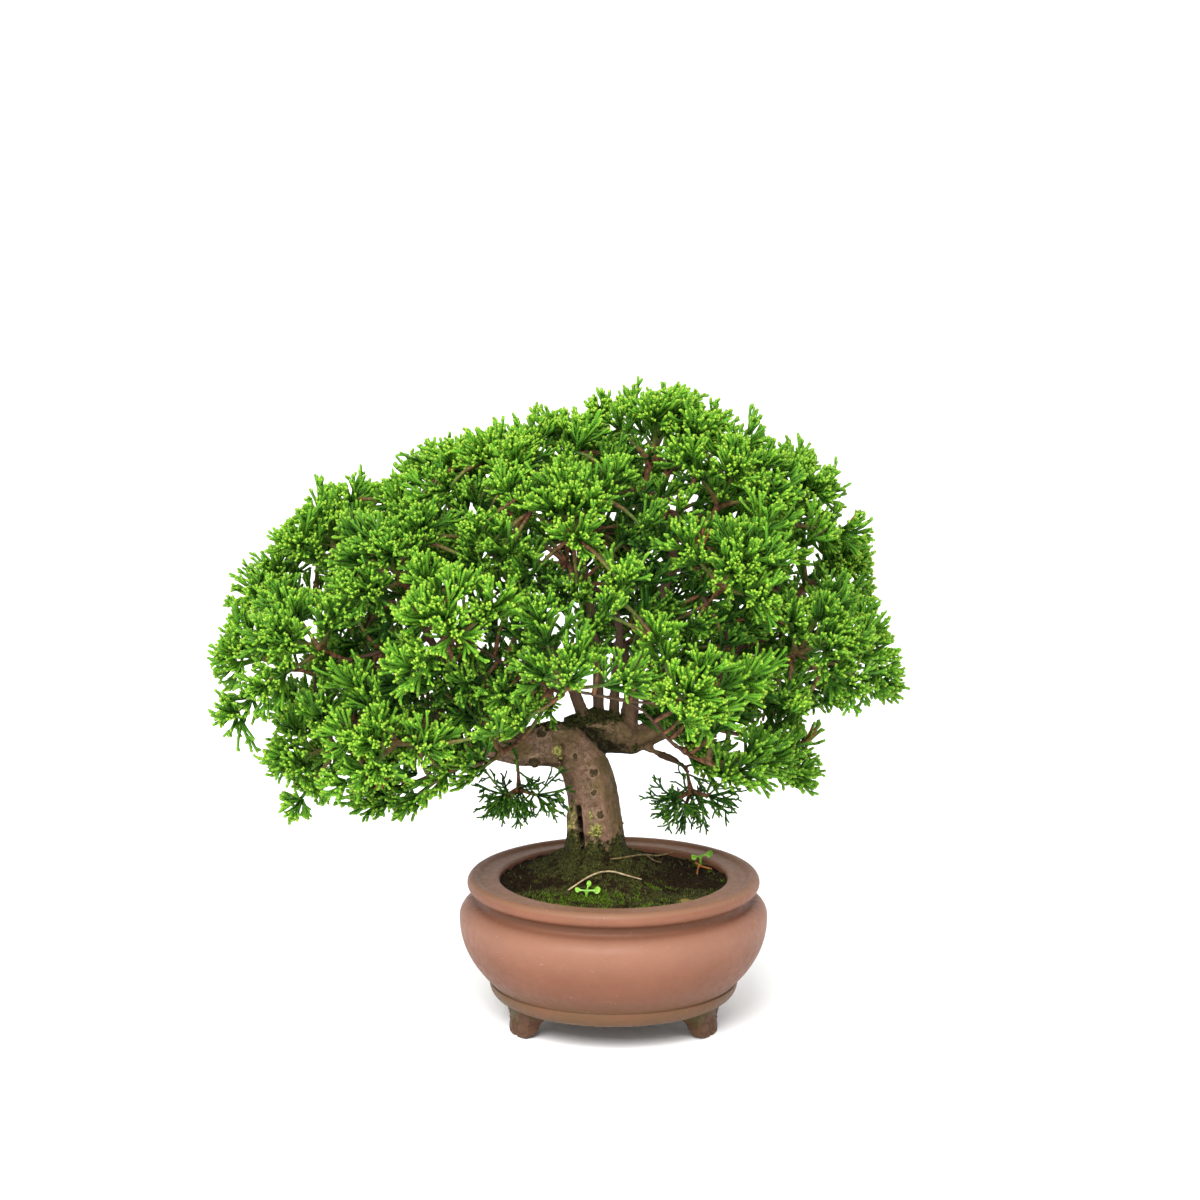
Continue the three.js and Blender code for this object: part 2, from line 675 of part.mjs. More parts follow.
// The main stem of a spray with its two whorls of side stems.
function growSkeleton(spray, frame) {
  const reach = frame.length / sprayReach;
  const start = spray.start(frame.base, frame.way, stemRadius);
  const stretches = reach < 0.6 ? [8] : [14 * reach, 10 * reach, 7 * reach];
  let main = growStem(spray, start, frame.way, stretches, frame, null);
  for (let trial = 0; trial < 12 && !main.whorls.length; trial++) {
    const tilt = vec(between(-0.4, 0.4), between(-0.4, 0.4), between(-0.4, 0.4));
    main = growStem(spray, start, frame.way.clone().add(tilt).normalize(), stretches, frame, null);
  }
  const stems = [main];
  main.whorls.slice(0, 2).forEach((whorl, level) => {
    whorl.forEach((face, k) => {
      if (k % 2 === level) return;
      const outward = spray.normalOf(face);
      for (let trial = 0; trial < 4; trial++) {
        const lean = radians(between(52, 68) - 14 * level - 6 * trial);
        const aim = leaning(frame.way, outward, lean, 0.15);
        const stretch = (level ? 12 : 20) * Math.max(0.5, reach) * between(0.8, 1.15);
        const end = spray.middleOf(face).addScaledVector(aim, stretch + 8);
        if (!frame.hangs && (inOpenSpace(end) || beyondCrown(end))) continue;
        const before = spray.faces.length;
        const sideStretches = level || reach < 0.6 ? [stretch] : [stretch, 9.5];
        const stem = growStem(spray, face, aim, sideStretches, frame, main);
        if (spray.faces.length === before) continue;
        stems.push(stem);
        return;
      }
    });
  });
  return stems;
}

function dressStem(spray, stem, main) {
  stem.whorls.forEach((whorl, level) => {
    whorl.forEach((face, k) => {
      const taken = stem === main && level < 2 && k % 2 !== level;
      if (taken) return;
      growShoot(spray, face, stem.heading, stem, k % 2 ? [26, 40] : [46, 62]);
    });
  });
  if (stem.whorls.length) growShoot(spray, stem.end, stem.heading, stem, [0, 8]);
}

function buildCrown() {
  const tips = sprayTips();
  const sprayFrames = [...tips.map(sprayFrame), ...hangingSprays];
  const outwards = (a, b) => a.base.distanceTo(crownCentre) - b.base.distanceTo(crownCentre);
  const twigs = [...sprayFrames].sort(outwards).map((frame) => {
    const end = frame.base.clone().addScaledVector(frame.way, -1.5 * fitGap);
    return twigSolid(frame, end);
  });
  const grown = sprayFrames.map((frame, i) => {
    const spray = new Spray("spray_" + String(i + 1).padStart(2, "0"), frame.hangs);
    return { spray, stems: growSkeleton(spray, frame) };
  });
  for (const { spray, stems } of grown) {
    for (const stem of stems) dressStem(spray, stem, stems[0]);
  }
  return { twigs, sprays: grown.map(({ spray }) => spray) };
}

function woodSolid(twigs) {
  let wood = trunkSolid(0).add(pillarSolid(0)).subtract(cleftSolid());
  for (const [x, y, z, radius] of knots) {
    const knot = new THREE.OctahedronGeometry(radius, 0).rotateX(0.5).translate(x, y, z);
    wood = wood.add(toSolid(knot));
  }
  for (const part of [...boughs.map((limb) => limb.solid()), ...twigs]) wood = wood.add(part);
  return wood;
}

// The plastic screen over the drain hole, which keeps the soil in.
function drainScreen() {
  const disc = new THREE.CylinderGeometry(screenRadius, screenRadius, screenThickness, 16);
  const middle = floorHeight + fitGap + screenThickness / 2;
  let screen = toSolid(disc.rotateX(Math.PI / 2).translate(0, 0, middle));
  const pitch = screenRadius / 2.2;
  for (const x of [-pitch, 0, pitch]) {
    for (const y of [-pitch, 0, pitch]) {
      const hole = new THREE.BoxGeometry(0.7 * pitch, 0.7 * pitch, 3 * screenThickness);
      screen = screen.subtract(toSolid(hole.translate(x, y, middle)));
    }
  }
  return toGeometry(screen);
}

function screenRecess() {
  const height = 2 * (screenThickness + 2 * fitGap);
  const radius = screenRadius + 2 * fitGap;
  const recess = new THREE.CylinderGeometry(radius, radius, height, 20);
  return toSolid(recess.rotateX(Math.PI / 2).translate(0, 0, floorHeight));
}

// Weeds that have sprouted in the pot: a stem in a plain hole in the soil, and round leaves.
const seedlings = [
  {
    name: "seedling_front", x: -13, y: -34, height: 3.4,
    leaves: [[5.2, 0.2, 1.8], [1.2, 3.2, 1.3], [-4.4, 0.4, 1.3]],
  },
  {
    name: "seedling_right", x: 43, y: 27, height: 4.8,
    leaves: [[-3.4, -0.8, 1.5], [4.4, 0.8, 1.8]],
  },
];

function seedlingStem({ x, y, height }, radius, sides) {
  const length = height + seedlingDepth;
  const stem = new THREE.CylinderGeometry(radius, radius, length, sides).rotateX(Math.PI / 2);
  return stem.translate(x, y, soilTop(x, y) + (height - seedlingDepth) / 2);
}

function seedlingGeometry(seedling) {
  let plant = toSolid(seedlingStem(seedling, seedlingStemRadius, 4));
  const top = soilTop(seedling.x, seedling.y) + seedling.height - 0.4;
  for (const [aside, back, radius] of seedling.leaves) {
    const leaf = new THREE.CylinderGeometry(radius, radius, leafThickness, 7).rotateX(Math.PI / 2);
    const reach = Math.hypot(aside, back);
    leaf.rotateY(radians(-16)).translate(reach, 0, 0);
    const stalk = new THREE.CylinderGeometry(stalkRadius, stalkRadius, reach, 4);
    stalk.rotateZ(Math.PI / 2).translate(reach / 2, 0, 0);
    for (const blade of [leaf, stalk]) {
      blade.rotateZ(Math.atan2(back, aside)).translate(seedling.x, seedling.y, top);
      plant = plant.add(toSolid(blade));
    }
  }
  return toGeometry(plant);
}

function seedlingHole(seedling) {
  const stem = seedlingStem({ ...seedling, height: 6 }, seedlingStemRadius + fitGap, 6);
  return toSolid(stem.translate(0, 0, -fitGap));
}

// Dry twigs that lie on the soil. Each place is x, y and the lift over the soil.
const fallenTwigs = [
  {
    name: "fallen_twig_pale", material: "dryWood", radius: 0.52, steps: 12,
    path: [[-22, -30, 0], [-18, -26.5, 0.3], [-13, -22.5, 0.5], [-6, -19.5, 0.8], [0, -18, 1],
      [6.3, -17, 0.6], [13.8, -17.5, 0.5]],
  },
  {
    name: "fallen_twig_brown", material: "dryWood", radius: 0.5, steps: 9,
    path: [[-2, -10, 0], [1.4, -8, 0], [9.1, 0, 0.2], [16, 14, 0.4], [22.2, 25, 1.6], [31, 33, 4.2]],
    side: [[16, 14, 0.4], [20, 14, 0.3], [24, 17, 0.6]],
  },
  {
    name: "fallen_sprig_orange", material: "rust", radius: 0.65, steps: 4,
    path: [[40.3, 26, 0.6], [43.7, 17.6, 0.3], [48.4, 12.5, 0.6]],
    side: [[42.4, 21, 0.4], [41.2, 13, 0.1], [40.8, 5, 0]],
  },
];

// The lowest clear height for a round twig at a place on the soil, read from the soil's own faces.
function restingHeight(x, y, radius) {
  const rise = [soilTop(x + 1, y) - soilTop(x - 1, y), soilTop(x, y + 1) - soilTop(x, y - 1)];
  const lean = Math.hypot(1, rise[0] / 2, rise[1] / 2);
  return Math.max(soilTop(x, y), faceHeight(x, y)) + (radius + fitGap) * lean + 0.2;
}

function faceHeight(x, y) {
  const ray = new THREE.Raycaster(vec(x, y, 120), vec(0, 0, -1));
  const mesh = bonsai.getObjectByName("soil");
  const hits = ray.intersectObject(mesh);
  return hits.length ? hits[0].point.z : soilLevel;
}

function fallenTwigGeometry({ radius, steps, path, side }) {
  const lifted = (places, thickness) => (
    places.map(([x, y, lift]) => [x, y, restingHeight(x, y, radius) + lift, thickness])
  );
  const main = lifted(path, radius);
  main[main.length - 1][3] = radius * 0.6;
  const twig = toSolid(loft(curveThrough(main), steps, 5, radiusAlong(main)));
  if (!side) return toGeometry(twig);
  const fork = lifted(side, radius * 0.75);
  return toGeometry(twig.add(toSolid(loft(curveThrough(fork), 2, 4, radiusAlong(fork)))));
}

const materials = {
  clay: new THREE.MeshStandardMaterial({ color: "#a97561", roughness: 0.72, metalness: 0 }),
  soil: new THREE.MeshStandardMaterial({ color: "#3c3a22", roughness: 0.97, metalness: 0 }),
  bark: new THREE.MeshStandardMaterial({ color: "#8a7466", roughness: 0.85, metalness: 0 }),
  foliage: new THREE.MeshStandardMaterial({ color: "#4f9a2b", roughness: 0.55, metalness: 0 }),
  screen: new THREE.MeshStandardMaterial({ color: "#1d1d1b", roughness: 0.6, metalness: 0 }),
  seedling: new THREE.MeshStandardMaterial({ color: "#7fae3c", roughness: 0.5, metalness: 0 }),
  dryWood: new THREE.MeshStandardMaterial({ color: "#a98d62", roughness: 0.85, metalness: 0 }),
  rust: new THREE.MeshStandardMaterial({ color: "#a4622c", roughness: 0.8, metalness: 0 }),
};

const bonsai = new THREE.Group();

function addPiece(name, geometry, material) {
  const mesh = new THREE.Mesh(geometry, material);
  mesh.name = name;
  bonsai.add(mesh);
}

addPiece("pot", toGeometry(potSolid()), materials.clay);
addPiece("drain_screen", drainScreen(), materials.screen);
const buried = [trunkSolid(fitGap), pillarSolid(fitGap), screenRecess(), ...seedlings.map(seedlingHole)];
const earth = buried.reduce((rest, solid) => rest.subtract(solid), soilSolid());
addPiece("soil", toGeometry(earth), materials.soil);
for (const seedling of seedlings) addPiece(seedling.name, seedlingGeometry(seedling), materials.seedling);
for (const twig of fallenTwigs) addPiece(twig.name, fallenTwigGeometry(twig), materials[twig.material]);

addWoodCapsules(curveThrough(trunk), trunkSteps, (share) => radiusAlong(trunk)(share) + 1);
addForks(null, curveThrough(trunk), trunkSteps, radiusAlong(trunk), 0.62, 1);
const boughs = Object.values(limbs).map((stations) => new Limb(stations));
const crown = buildCrown();
addPiece("trunk_and_branches", toGeometry(woodSolid(crown.twigs)), materials.bark);
for (const spray of crown.sprays) {
  addPiece(spray.name, indexedGeometry(spray.points, spray.faces), materials.foliage);
}

// The middle of the whole part's bounding box stands over the origin.
bonsai.updateMatrixWorld(true);
const middle = new THREE.Box3().setFromObject(bonsai).getCenter(vec(0, 0, 0));
bonsai.position.set(-middle.x, -middle.y, 0);

export default bonsai;
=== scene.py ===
import math

import bmesh
import bpy
import numpy as np
from bpy.props import FloatProperty, FloatVectorProperty, IntProperty, PointerProperty
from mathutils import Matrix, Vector, noise
from mathutils.kdtree import KDTree

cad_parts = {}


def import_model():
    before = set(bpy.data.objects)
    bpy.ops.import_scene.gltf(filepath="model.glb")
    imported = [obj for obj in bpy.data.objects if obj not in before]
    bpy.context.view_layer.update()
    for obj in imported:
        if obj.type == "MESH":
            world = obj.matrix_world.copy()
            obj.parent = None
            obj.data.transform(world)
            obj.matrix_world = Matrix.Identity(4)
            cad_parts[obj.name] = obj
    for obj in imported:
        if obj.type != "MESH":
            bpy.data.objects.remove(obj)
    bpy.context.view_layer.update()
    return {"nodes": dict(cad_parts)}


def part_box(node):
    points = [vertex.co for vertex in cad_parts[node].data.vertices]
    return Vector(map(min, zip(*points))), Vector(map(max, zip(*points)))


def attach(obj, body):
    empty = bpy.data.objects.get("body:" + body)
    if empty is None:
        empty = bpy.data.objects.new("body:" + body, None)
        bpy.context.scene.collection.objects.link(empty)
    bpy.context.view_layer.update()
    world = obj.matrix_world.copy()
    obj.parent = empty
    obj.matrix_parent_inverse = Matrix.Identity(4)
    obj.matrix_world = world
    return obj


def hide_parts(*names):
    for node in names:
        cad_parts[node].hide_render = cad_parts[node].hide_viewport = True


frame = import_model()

bl_info = {
    "name": "Juniper bonsai in a clay pot",
    "version": (1, 0, 0),
    "blender": (4, 5, 0),
    "location": "3D View > Sidebar > Bonsai",
    "description": "Dresses a juniper bonsai: scale-leaf shoots, bark, moss and unglazed clay",
    "category": "Object",
}

MM = 0.001

# The pot's axis stands at x = 0, y = 0 in all the measures below, which are in millimetres.
POT_LOW, POT_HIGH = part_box("pot")
AXIS = np.array([(POT_LOW.x + POT_HIGH.x) / 2, (POT_LOW.y + POT_HIGH.y) / 2, 0]) / MM

# Pot: radii and heights of its section, from the rim down
BEAD_R = 3.7
BEAD_AT = (67.6, 70.3)
MOUTH_R, RIM_Z, LIP_R = 55.5, 72.9, 1.6
RIM_FLAT = [(65.5, 72.95), (65.1, 72.55), (64.6, 72.5), (61.5, 72.65), (59, 72.85)]
NECK = [(66, 61.9), (65.8, 62.8), (65.8, 64.6), (66.1, 65.8), (66.9, 66.5)]
NECK_R, SHOULDER_Z = 66.4, 61.4
BELLY_R, BELLY_Z = 75.2, 53.6
FLANK_POWER, BELT_LEDGE = 2.2, 0.8
BELT_R, BELT_Z, BELT_EDGE = 60.8, 20.8, 0.6
BASE_R, BASE_Z = 54.2, 13.4
INNER_WALL = [(55.7, 66), (56.5, 62), (60, 58.5), (64.5, 55.6), (66, 53), (66, 44), (62, 33), (57.5, 25)]
FLOOR_R, FLOOR_Z = 49, 19
DRAIN_R = 8

# Cloud feet: how far out, how deep and how high they are, and half the outline of one as width and height
FOOT_TURNS = (-60, 60, 180)
FOOT_OUT, FOOT_DEEP, TREAD_DEEP = 55.2, 14, 5
FOOT_SHOULDER, FOOT_TOP, FOOT_TALL = 12, 15.6, 15.5
FOOT_HALF = [
    (6.8, 0), (8.8, 1.8), (9.2, 4.8), (8.2, 6.9), (10.2, 9.1), (12.4, FOOT_SHOULDER), (12.8, FOOT_TOP),
]
FOOT_CELL, FOOT_CURVE = 0.7, 0.02

# Grooves in a foot's face: the cleft up its middle, then centre, radius, half width and depth of each swirl
CLEFT_HALF, CLEFT_DEEP, CLEFT_TOP = 0.9, 1.8, 10.5
SWIRLS = (
    ((4.8, 4.9), 3.1, 0.65, 1.1),
    ((8, 11.4), 2.8, 0.6, 0.8),
)

# Painted sheen and painted shade on the clay, as heights: where each begins, is full, is still full and ends
PAINTED_SHEEN_BAND = (40, 57, 59, 62.5)
NECK_SHADE_BAND = (60.2, 63.2, 66, 68.5)
CREASE_SHADE_BAND = (20.6, 21.4, 21.8, 22.8)

# Soil: its surface, its mound round the trunk, and its underside along the pot's wall
SOIL_R, SOIL_Z = 55.2, 70.4
SOIL_SEAT = 0.4
SOIL_UNDER = [(57, 25.2), (65.4, 44), (65.4, 53), (56, 61), (54.9, 64)]
MOUND_Z, MOUND_SPREAD = 18, 26
MOUND_AT = (-9, 8)
MOSS_TALL, GRASS_TALL = 1.7, 5

# Crown: its middle, half its depth, and its outline from the front as x and z
CROWN_AT = np.array([-29, 0, 205])
CROWN_DEEP = 130
CROWN_OUTLINE = np.array([
    (138, 186), (130, 235), (113, 264), (89, 292), (60, 302), (25, 315), (5, 307), (-30, 301),
    (-73, 291), (-104, 280), (-124, 264), (-146, 262), (-158, 248), (-180, 236), (-189, 210),
    (-195, 184), (-189, 164), (-176, 139), (-143, 117), (-118, 106), (-100, 110), (-70, 132),
    (-46, 158), (-7, 158), (13, 130), (40, 112), (61, 121), (100, 122), (115, 139), (129, 161),
])

# Limbs: x, y, z and radius along each. Those with a radius past THICK count as more than a branch.
LIMBS = {
    "trunk": [
        (-9, 10, 62, 14.2), (-9, 10, 76, 14.2), (-8.6, 9.4, 88, 13.6), (-8.8, 8.6, 100, 12.9),
        (-10.2, 7.8, 113, 12.4), (-14.4, 7, 127, 12.4), (-21, 5.4, 136, 12.2), (-32, 3.6, 138.5, 11.4),
        (-43, 2, 136.5, 9.8), (-55, 1, 137, 7.4), (-66, 0, 137.5, 5.2), (-88, -5, 135, 3.3),
        (-105, -5, 141, 2.8), (-130, 0, 150, 2.2), (-150, 4, 162, 1.3),
    ],
    "log": [
        (-23, 11, 141, 9), (-12, 14, 142, 11.2), (2, 17, 139.5, 10.8), (12, 18, 136.4, 7.2),
        (24, 20, 143, 6.6), (38, 21, 150, 5.8), (58, 18, 163, 4.4), (80, 12, 176, 3.3), (100, 5, 190, 2.2),
    ],
    "pillar": [(-17, 4, 74, 4.6), (-18.4, 1, 86, 4), (-19.6, -0.5, 97, 3.4), (-20.4, -1.4, 108, 2.4)],
    "rise_left": [(-14, 13, 148, 3.6), (-22, 10, 170, 3), (-40, 5, 200, 2.4), (-60, 0, 238, 1.3)],
    "rise_back": [(-7, 17, 148, 3.2), (-8, 24, 176, 2.8), (-14, 38, 214, 2.2), (-22, 50, 252, 1.3)],
    "rise_front": [(0, 17, 147, 3), (1, 12, 172, 2.7), (3, -12, 198, 2.3), (-2, -46, 222, 1.3)],
    "rise_right": [
        (8, 17, 144, 4.2), (9, 16, 165, 3.8), (18, 14, 192, 3), (29, 10, 230, 2.3), (32, 5, 264, 1.3),
    ],
    "left_front": [(-54, 1, 138, 3.4), (-66, -10, 158, 2.9), (-82, -24, 186, 2.3), (-94, -34, 214, 1.3)],
    "left_back": [(-43, 4, 140, 3.4), (-58, 25, 160, 2.9), (-80, 46, 185, 2.3), (-102, 56, 206, 1.3)],
    "right_front": [(44, 20, 154, 3.2), (58, 0, 184, 2.7), (74, -22, 214, 2.2), (86, -32, 242, 1.3)],
    "right_back": [(50, 19, 158, 3), (56, 45, 182, 2.5), (66, 66, 212, 1.3)],
}
THICK = 5
TWIG_R = 1.2

# The trunk bends over to the left above this height.
BEND_Z = 120

# Healed cuts on the front of the wood: x, z and radius.
KNOTS = [
    (-9.6, 126, 2.1), (-18.6, 134.5, 1.6), (-9.6, 116, 1.4), (-6.5, 104.6, 2.1), (-38, 131, 3.2),
    (-35, 146, 2.5),
]
KNOT_FAR = 9.0

# Spots on the wood: centre, and reach along x, y and z. Those of lichen also have a strength.
PILLAR_FACE = ((-19.6, -0.5, 98), (3.6, 6, 16))
BARK_CRUST = ((-25, -8, 136), (2.2, 9, 8))
MOSS_POCKET = ((11, 10, 132), (6, 6, 6))
LICHEN = (
    ((-8.5, -4.5, 96.5), (3.4, 9, 4.2), 1),
    ((-26.4, -8, 135.5), (1.8, 9, 7), 0.5),
    ((-27.4, -8, 137.5), (2.4, 9, 2.4), 0.9),
    ((-11.2, -5, 104), (1.2, 6, 4), 0.75),
)

# Shoots: how far long ones bow, the step from scale leaf to scale leaf, and the turn from one to the next
BOW = 0.95
SCALE_STEP = 1.25
SPIRAL = math.radians(137.5)

# Side shoots: how many to a leader, and how far they lean from it, in degrees
FORKS, BUDS = 3, 3
FORK_LEAN, BUD_LEAN, DROOP_LEAN = (12, 34), (17, 36), (22, 42)
LIFT, DROOP = 0.1, -0.15

# Branchlets into bare places: tries, leaders on each, how long these are, and the longest stem
TRIES = 12000
FAN = 4
FAN_FOOT = 9
FAN_LONG = (12, 17)
STEM_LONGEST = 55
STEM_R, STEM_TAPER = 1.2, 0.35

# Numbers of the two hanging sprays' extra shoots, and of places where stems may start
DROOPS = 12
ROOTS_ON_SPRAY, ROOTS_ON_WOOD = 50, 3000
TWIG_SEED, SPRAY_SEED = 77, 1000

# How steeply the seedlings' leaves lean to the front, above a stalk this high
LEAF_SLOPE, STALK = 0.8, 3

# Colours beside those that the panel shows
# The first two clay colours darken it towards the bottom; the third is painted shade in the crease at the
# belt line
LOW_CLAY, BOTTOM_CLAY, CREASE_SHADE_CLAY = (0.098, 0.058, 0.025), (0.066, 0.031, 0.016), (0.06, 0.036, 0.016)
PALE_GROG, DARK_GROG, ALGAE = (0.36, 0.28, 0.2), (0.06, 0.032, 0.02), (0.058, 0.055, 0.012)
CRUMB, GRIT, LITTER, SAND = (0.036, 0.022, 0.010), (0.14, 0.09, 0.04), (0.21, 0.18, 0.06), (0.22, 0.16, 0.045)
MOTTLE, OLIVE, PALE_BARK = (0.155, 0.112, 0.040), (0.120, 0.086, 0.030), (0.25, 0.175, 0.09)
# The last of these is the near-black of painted shade in the wood's hollows
SHAGGY, FISSURE, HOLLOW_SHADE = (0.058, 0.034, 0.021), (0.02, 0.013, 0.007), (0.010, 0.007, 0.002)
KNOT, KNOT_RING = (0.088, 0.062, 0.026), (0.018, 0.012, 0.005)
LICHEN_DARK, LICHEN_PALE = (0.13, 0.12, 0.025), (0.42, 0.40, 0.12)
MOSS_DARK, MOSS_PALE = (0.007, 0.008, 0.002), (0.060, 0.060, 0.012)
DEAD_LEAF = (0.22, 0.09, 0.035)
STEM_DARK, STEM_PALE = (0.055, 0.024, 0.013), (0.20, 0.085, 0.036)
SEEDLING_DARK, SEEDLING_PALE = (0.12, 0.33, 0.02), (0.26, 0.52, 0.05)
PLASTIC, PLASTIC_DUST = (0.012, 0.012, 0.012), (0.05, 0.042, 0.034)

# Dry twigs on the soil: slot, finish, and its dark and pale colour
DRY_TWIGS = {
    "fallen_twig_pale": ("dry_wood", "pale dry twig", (0.25, 0.17, 0.09), (0.52, 0.40, 0.24)),
    "fallen_twig_brown": ("dry_wood", "brown dry twig", (0.10, 0.07, 0.03), (0.26, 0.19, 0.075)),
    "fallen_sprig_orange": ("dead_sprig", "orange dead sprig", (0.25, 0.08, 0.02), (0.50, 0.19, 0.035)),
}

# Stage, in metres and watts: floor, sky, sun, and each lamp's name, place, power and width
FLOOR_HALF = 8
SKY = 1.18
SUN, SUN_SPREAD, SUN_WAY = 0.9, 60, (0.6, 0.55, -1)
LAMPS = (
    ("key", (-0.25, -1.6, 1.4), 54, 1.0),
    ("top", (0.1, 0.1, 1.8), 7, 1.2),
)
LAMP_AIM = (0, 0, 0.15)

# Camera, in millimetres and degrees
CAMERA_AT = (0, -2000, 641)
CAMERA_DOWN, CAMERA_TURN = 12.149, 0.189


def colour_of(name, description, default):
    return FloatVectorProperty(
        name=name, description=description, subtype="COLOR", default=default, min=0, max=1,
    )


class PotSettings(bpy.types.PropertyGroup):
    clay: colour_of("Clay", "Colour of the bare clay", (0.196, 0.080, 0.046))
    segments: IntProperty(name="Segments", description="Steps round the pot", default=168, min=24, max=512)
    wobble: FloatProperty(
        name="Wobble", description="How far the hand-turned wall strays, in mm", default=0.12, min=0, max=1,
    )


class SoilSettings(bpy.types.PropertyGroup):
    earth: colour_of("Earth", "Colour of the bare soil", (0.007, 0.005, 0.002))
    moss: colour_of("Moss", "Colour of the moss", (0.050, 0.050, 0.014))
    lush: colour_of("Fresh moss", "Colour of the growing moss in front", (0.115, 0.19, 0.012))
    tufts: FloatProperty(
        name="Moss tufts", description="Most tufts to a square metre", default=2600000, min=0,
    )
    seed: IntProperty(name="Seed", description="Seed of the scattered moss", default=7)


class WoodSettings(bpy.types.PropertyGroup):
    bark: colour_of("Bark", "Main colour of the bark", (0.235, 0.155, 0.102))
    grain: FloatProperty(
        name="Bark relief", description="Depth of the bark in mm", default=0.42, min=0, max=2,
    )
    share: FloatProperty(
        name="Share kept", description="Faces kept when the twigs are thinned out", default=0.5,
        min=0.05, max=1,
    )
    cell: FloatProperty(
        name="Finest detail", description="Width of the wood's mesh cells", default=0.0008, unit="LENGTH",
        min=0.0004, max=0.003,
    )


class FoliageSettings(bpy.types.PropertyGroup):
    tip: colour_of("Tip", "Colour of the growing tips", (0.37, 0.50, 0.045))
    leaf: colour_of("Leaf", "Colour of this year's shoots", (0.115, 0.315, 0.018))
    old_leaf: colour_of("Old leaf", "Colour of the inner shoots", (0.018, 0.078, 0.008))
    radius: FloatProperty(
        name="Shoot radius", description="Half the thickness of a shoot", default=0.00095, unit="LENGTH",
        min=0.0003, max=0.002,
    )
    infill: IntProperty(
        name="Infill", description="More leaders on each spray's stems", default=4, min=0, max=60,
    )
    twig_infill: IntProperty(
        name="Twig infill", description="Leaders on the outer twigs", default=110, min=0, max=2000,
    )
    fillers: IntProperty(
        name="Fillers", description="Most branchlets in bare places", default=420, min=0, max=900,
    )
    largest_gap: FloatProperty(
        name="Largest gap", description="Room without shoots that is filled", default=0.0085, unit="LENGTH",
        min=0.004,
    )


class StageSettings(bpy.types.PropertyGroup):
    floor: colour_of("Floor", "Colour of the floor", (0.95, 0.95, 0.95))
    lens: FloatProperty(
        name="Lens", description="Focal length in mm on a 36 mm frame", default=127.58, min=10,
    )


def world(points):
    """Points in millimetres from the pot's axis, as metres in the frame."""
    return (np.asarray(points, float) + AXIS) * MM


def local(coords):
    """The other way round."""
    return np.asarray(coords, float) / MM - AXIS


def ramp(value, start, end):
    """0 before start, 1 past end, and straight between them. Start may be the higher one."""
    return np.clip((value - start) / (end - start), 0, 1)


def hump(value, middle, half, power=2):
    """1 in the middle, falling off on both sides of it."""
    return np.exp(-np.abs((value - middle) / half) ** power)


def unit(v):
    """Each row of v at length 1."""
    return v / np.maximum(np.linalg.norm(v, axis=-1, keepdims=True), 1e-12)


def tinted(colour, *shares):
    """A colour with its red, green and blue scaled, each by its own share or all by one."""
    return tuple(min(1, c * share) for c, share in zip(colour, shares * 3))


def coords_of(mesh):
    flat = np.empty(len(mesh.vertices) * 3)
    mesh.vertices.foreach_get("co", flat)
    return flat.reshape(-1, 3)


def set_coords(mesh, coords):
    mesh.vertices.foreach_set("co", np.ascontiguousarray(coords, float).ravel())
    mesh.update()


def normals_of(mesh):
    flat = np.empty(len(mesh.vertices) * 3)
    mesh.vertices.foreach_get("normal", flat)
    return flat.reshape(-1, 3)


def store(mesh, name, values):
    """Keeps a number or a vector for every point of a mesh."""
    values = np.asarray(values, np.float32)
    kind, key = ("FLOAT_VECTOR", "vector") if values.ndim == 2 else ("FLOAT", "value")
    mesh.attributes.new(name, kind, "POINT").data.foreach_set(key, values.ravel())


def link(obj):
    bpy.context.scene.collection.objects.link(obj)
    return obj


def build(name, points, faces, material, smooth=True):
    mesh = bpy.data.meshes.new(name)
    mesh.from_pydata([tuple(p) for p in points], [], faces)
    mesh.update()
    mesh.materials.append(material)
    if smooth:
        mesh.shade_smooth()
    return link(bpy.data.objects.new(name, mesh))


def dress(obj, material):
    """Gives an object one material and no other."""
    obj.data.materials.clear()
    obj.data.materials.append(material)


def baked(obj):
    """Turns an object with modifiers into a plain mesh."""
    depsgraph = bpy.context.evaluated_depsgraph_get()
    mesh = bpy.data.meshes.new_from_object(obj.evaluated_get(depsgraph))
    obj.modifiers.clear()
    obj.data = mesh
    return obj


def even_mesh(obj, cell, passes, factor):
    """Gives an object even mesh cells and softened corners."""
    obj.modifiers.new("cells", "REMESH").voxel_size = cell
    soften = obj.modifiers.new("soften", "SMOOTH")
    soften.iterations = passes
    soften.factor = factor
    baked(obj)


def rounded(obj, levels):
    subdivided = obj.modifiers.new("rounded", "SUBSURF")
    subdivided.levels = subdivided.render_levels = levels
    baked(obj)


def face_out(mesh):
    shape = bmesh.new()
    shape.from_mesh(mesh)
    bmesh.ops.remove_doubles(shape, verts=shape.verts, dist=1e-7)
    bmesh.ops.recalc_face_normals(shape, faces=shape.faces)
    shape.to_mesh(mesh)
    shape.free()


def finish_piece(obj, slot, *nodes):
    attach(obj, "root")
    if nodes:
        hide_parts(*nodes)


def node_copy(node, name):
    """A CAD node's mesh with its loose triangles joined up, as a new object."""
    mesh = frame["nodes"][node].data.copy()
    mesh.name = name
    mesh.materials.clear()
    shape = bmesh.new()
    shape.from_mesh(mesh)
    bmesh.ops.remove_doubles(shape, verts=shape.verts, dist=2e-6)
    shape.to_mesh(mesh)
    shape.free()
    return link(bpy.data.objects.new(name, mesh))


def join(name, objects):
    """Several objects' plain meshes as one object."""
    shape = bmesh.new()
    for obj in objects:
        shape.from_mesh(obj.data)
    mesh = bpy.data.meshes.new(name)
    shape.to_mesh(mesh)
    shape.free()
    for material in objects[0].data.materials:
        mesh.materials.append(material)
    mesh.shade_smooth()
    for obj in objects:
        bpy.data.objects.remove(obj)
    return link(bpy.data.objects.new(name, mesh))


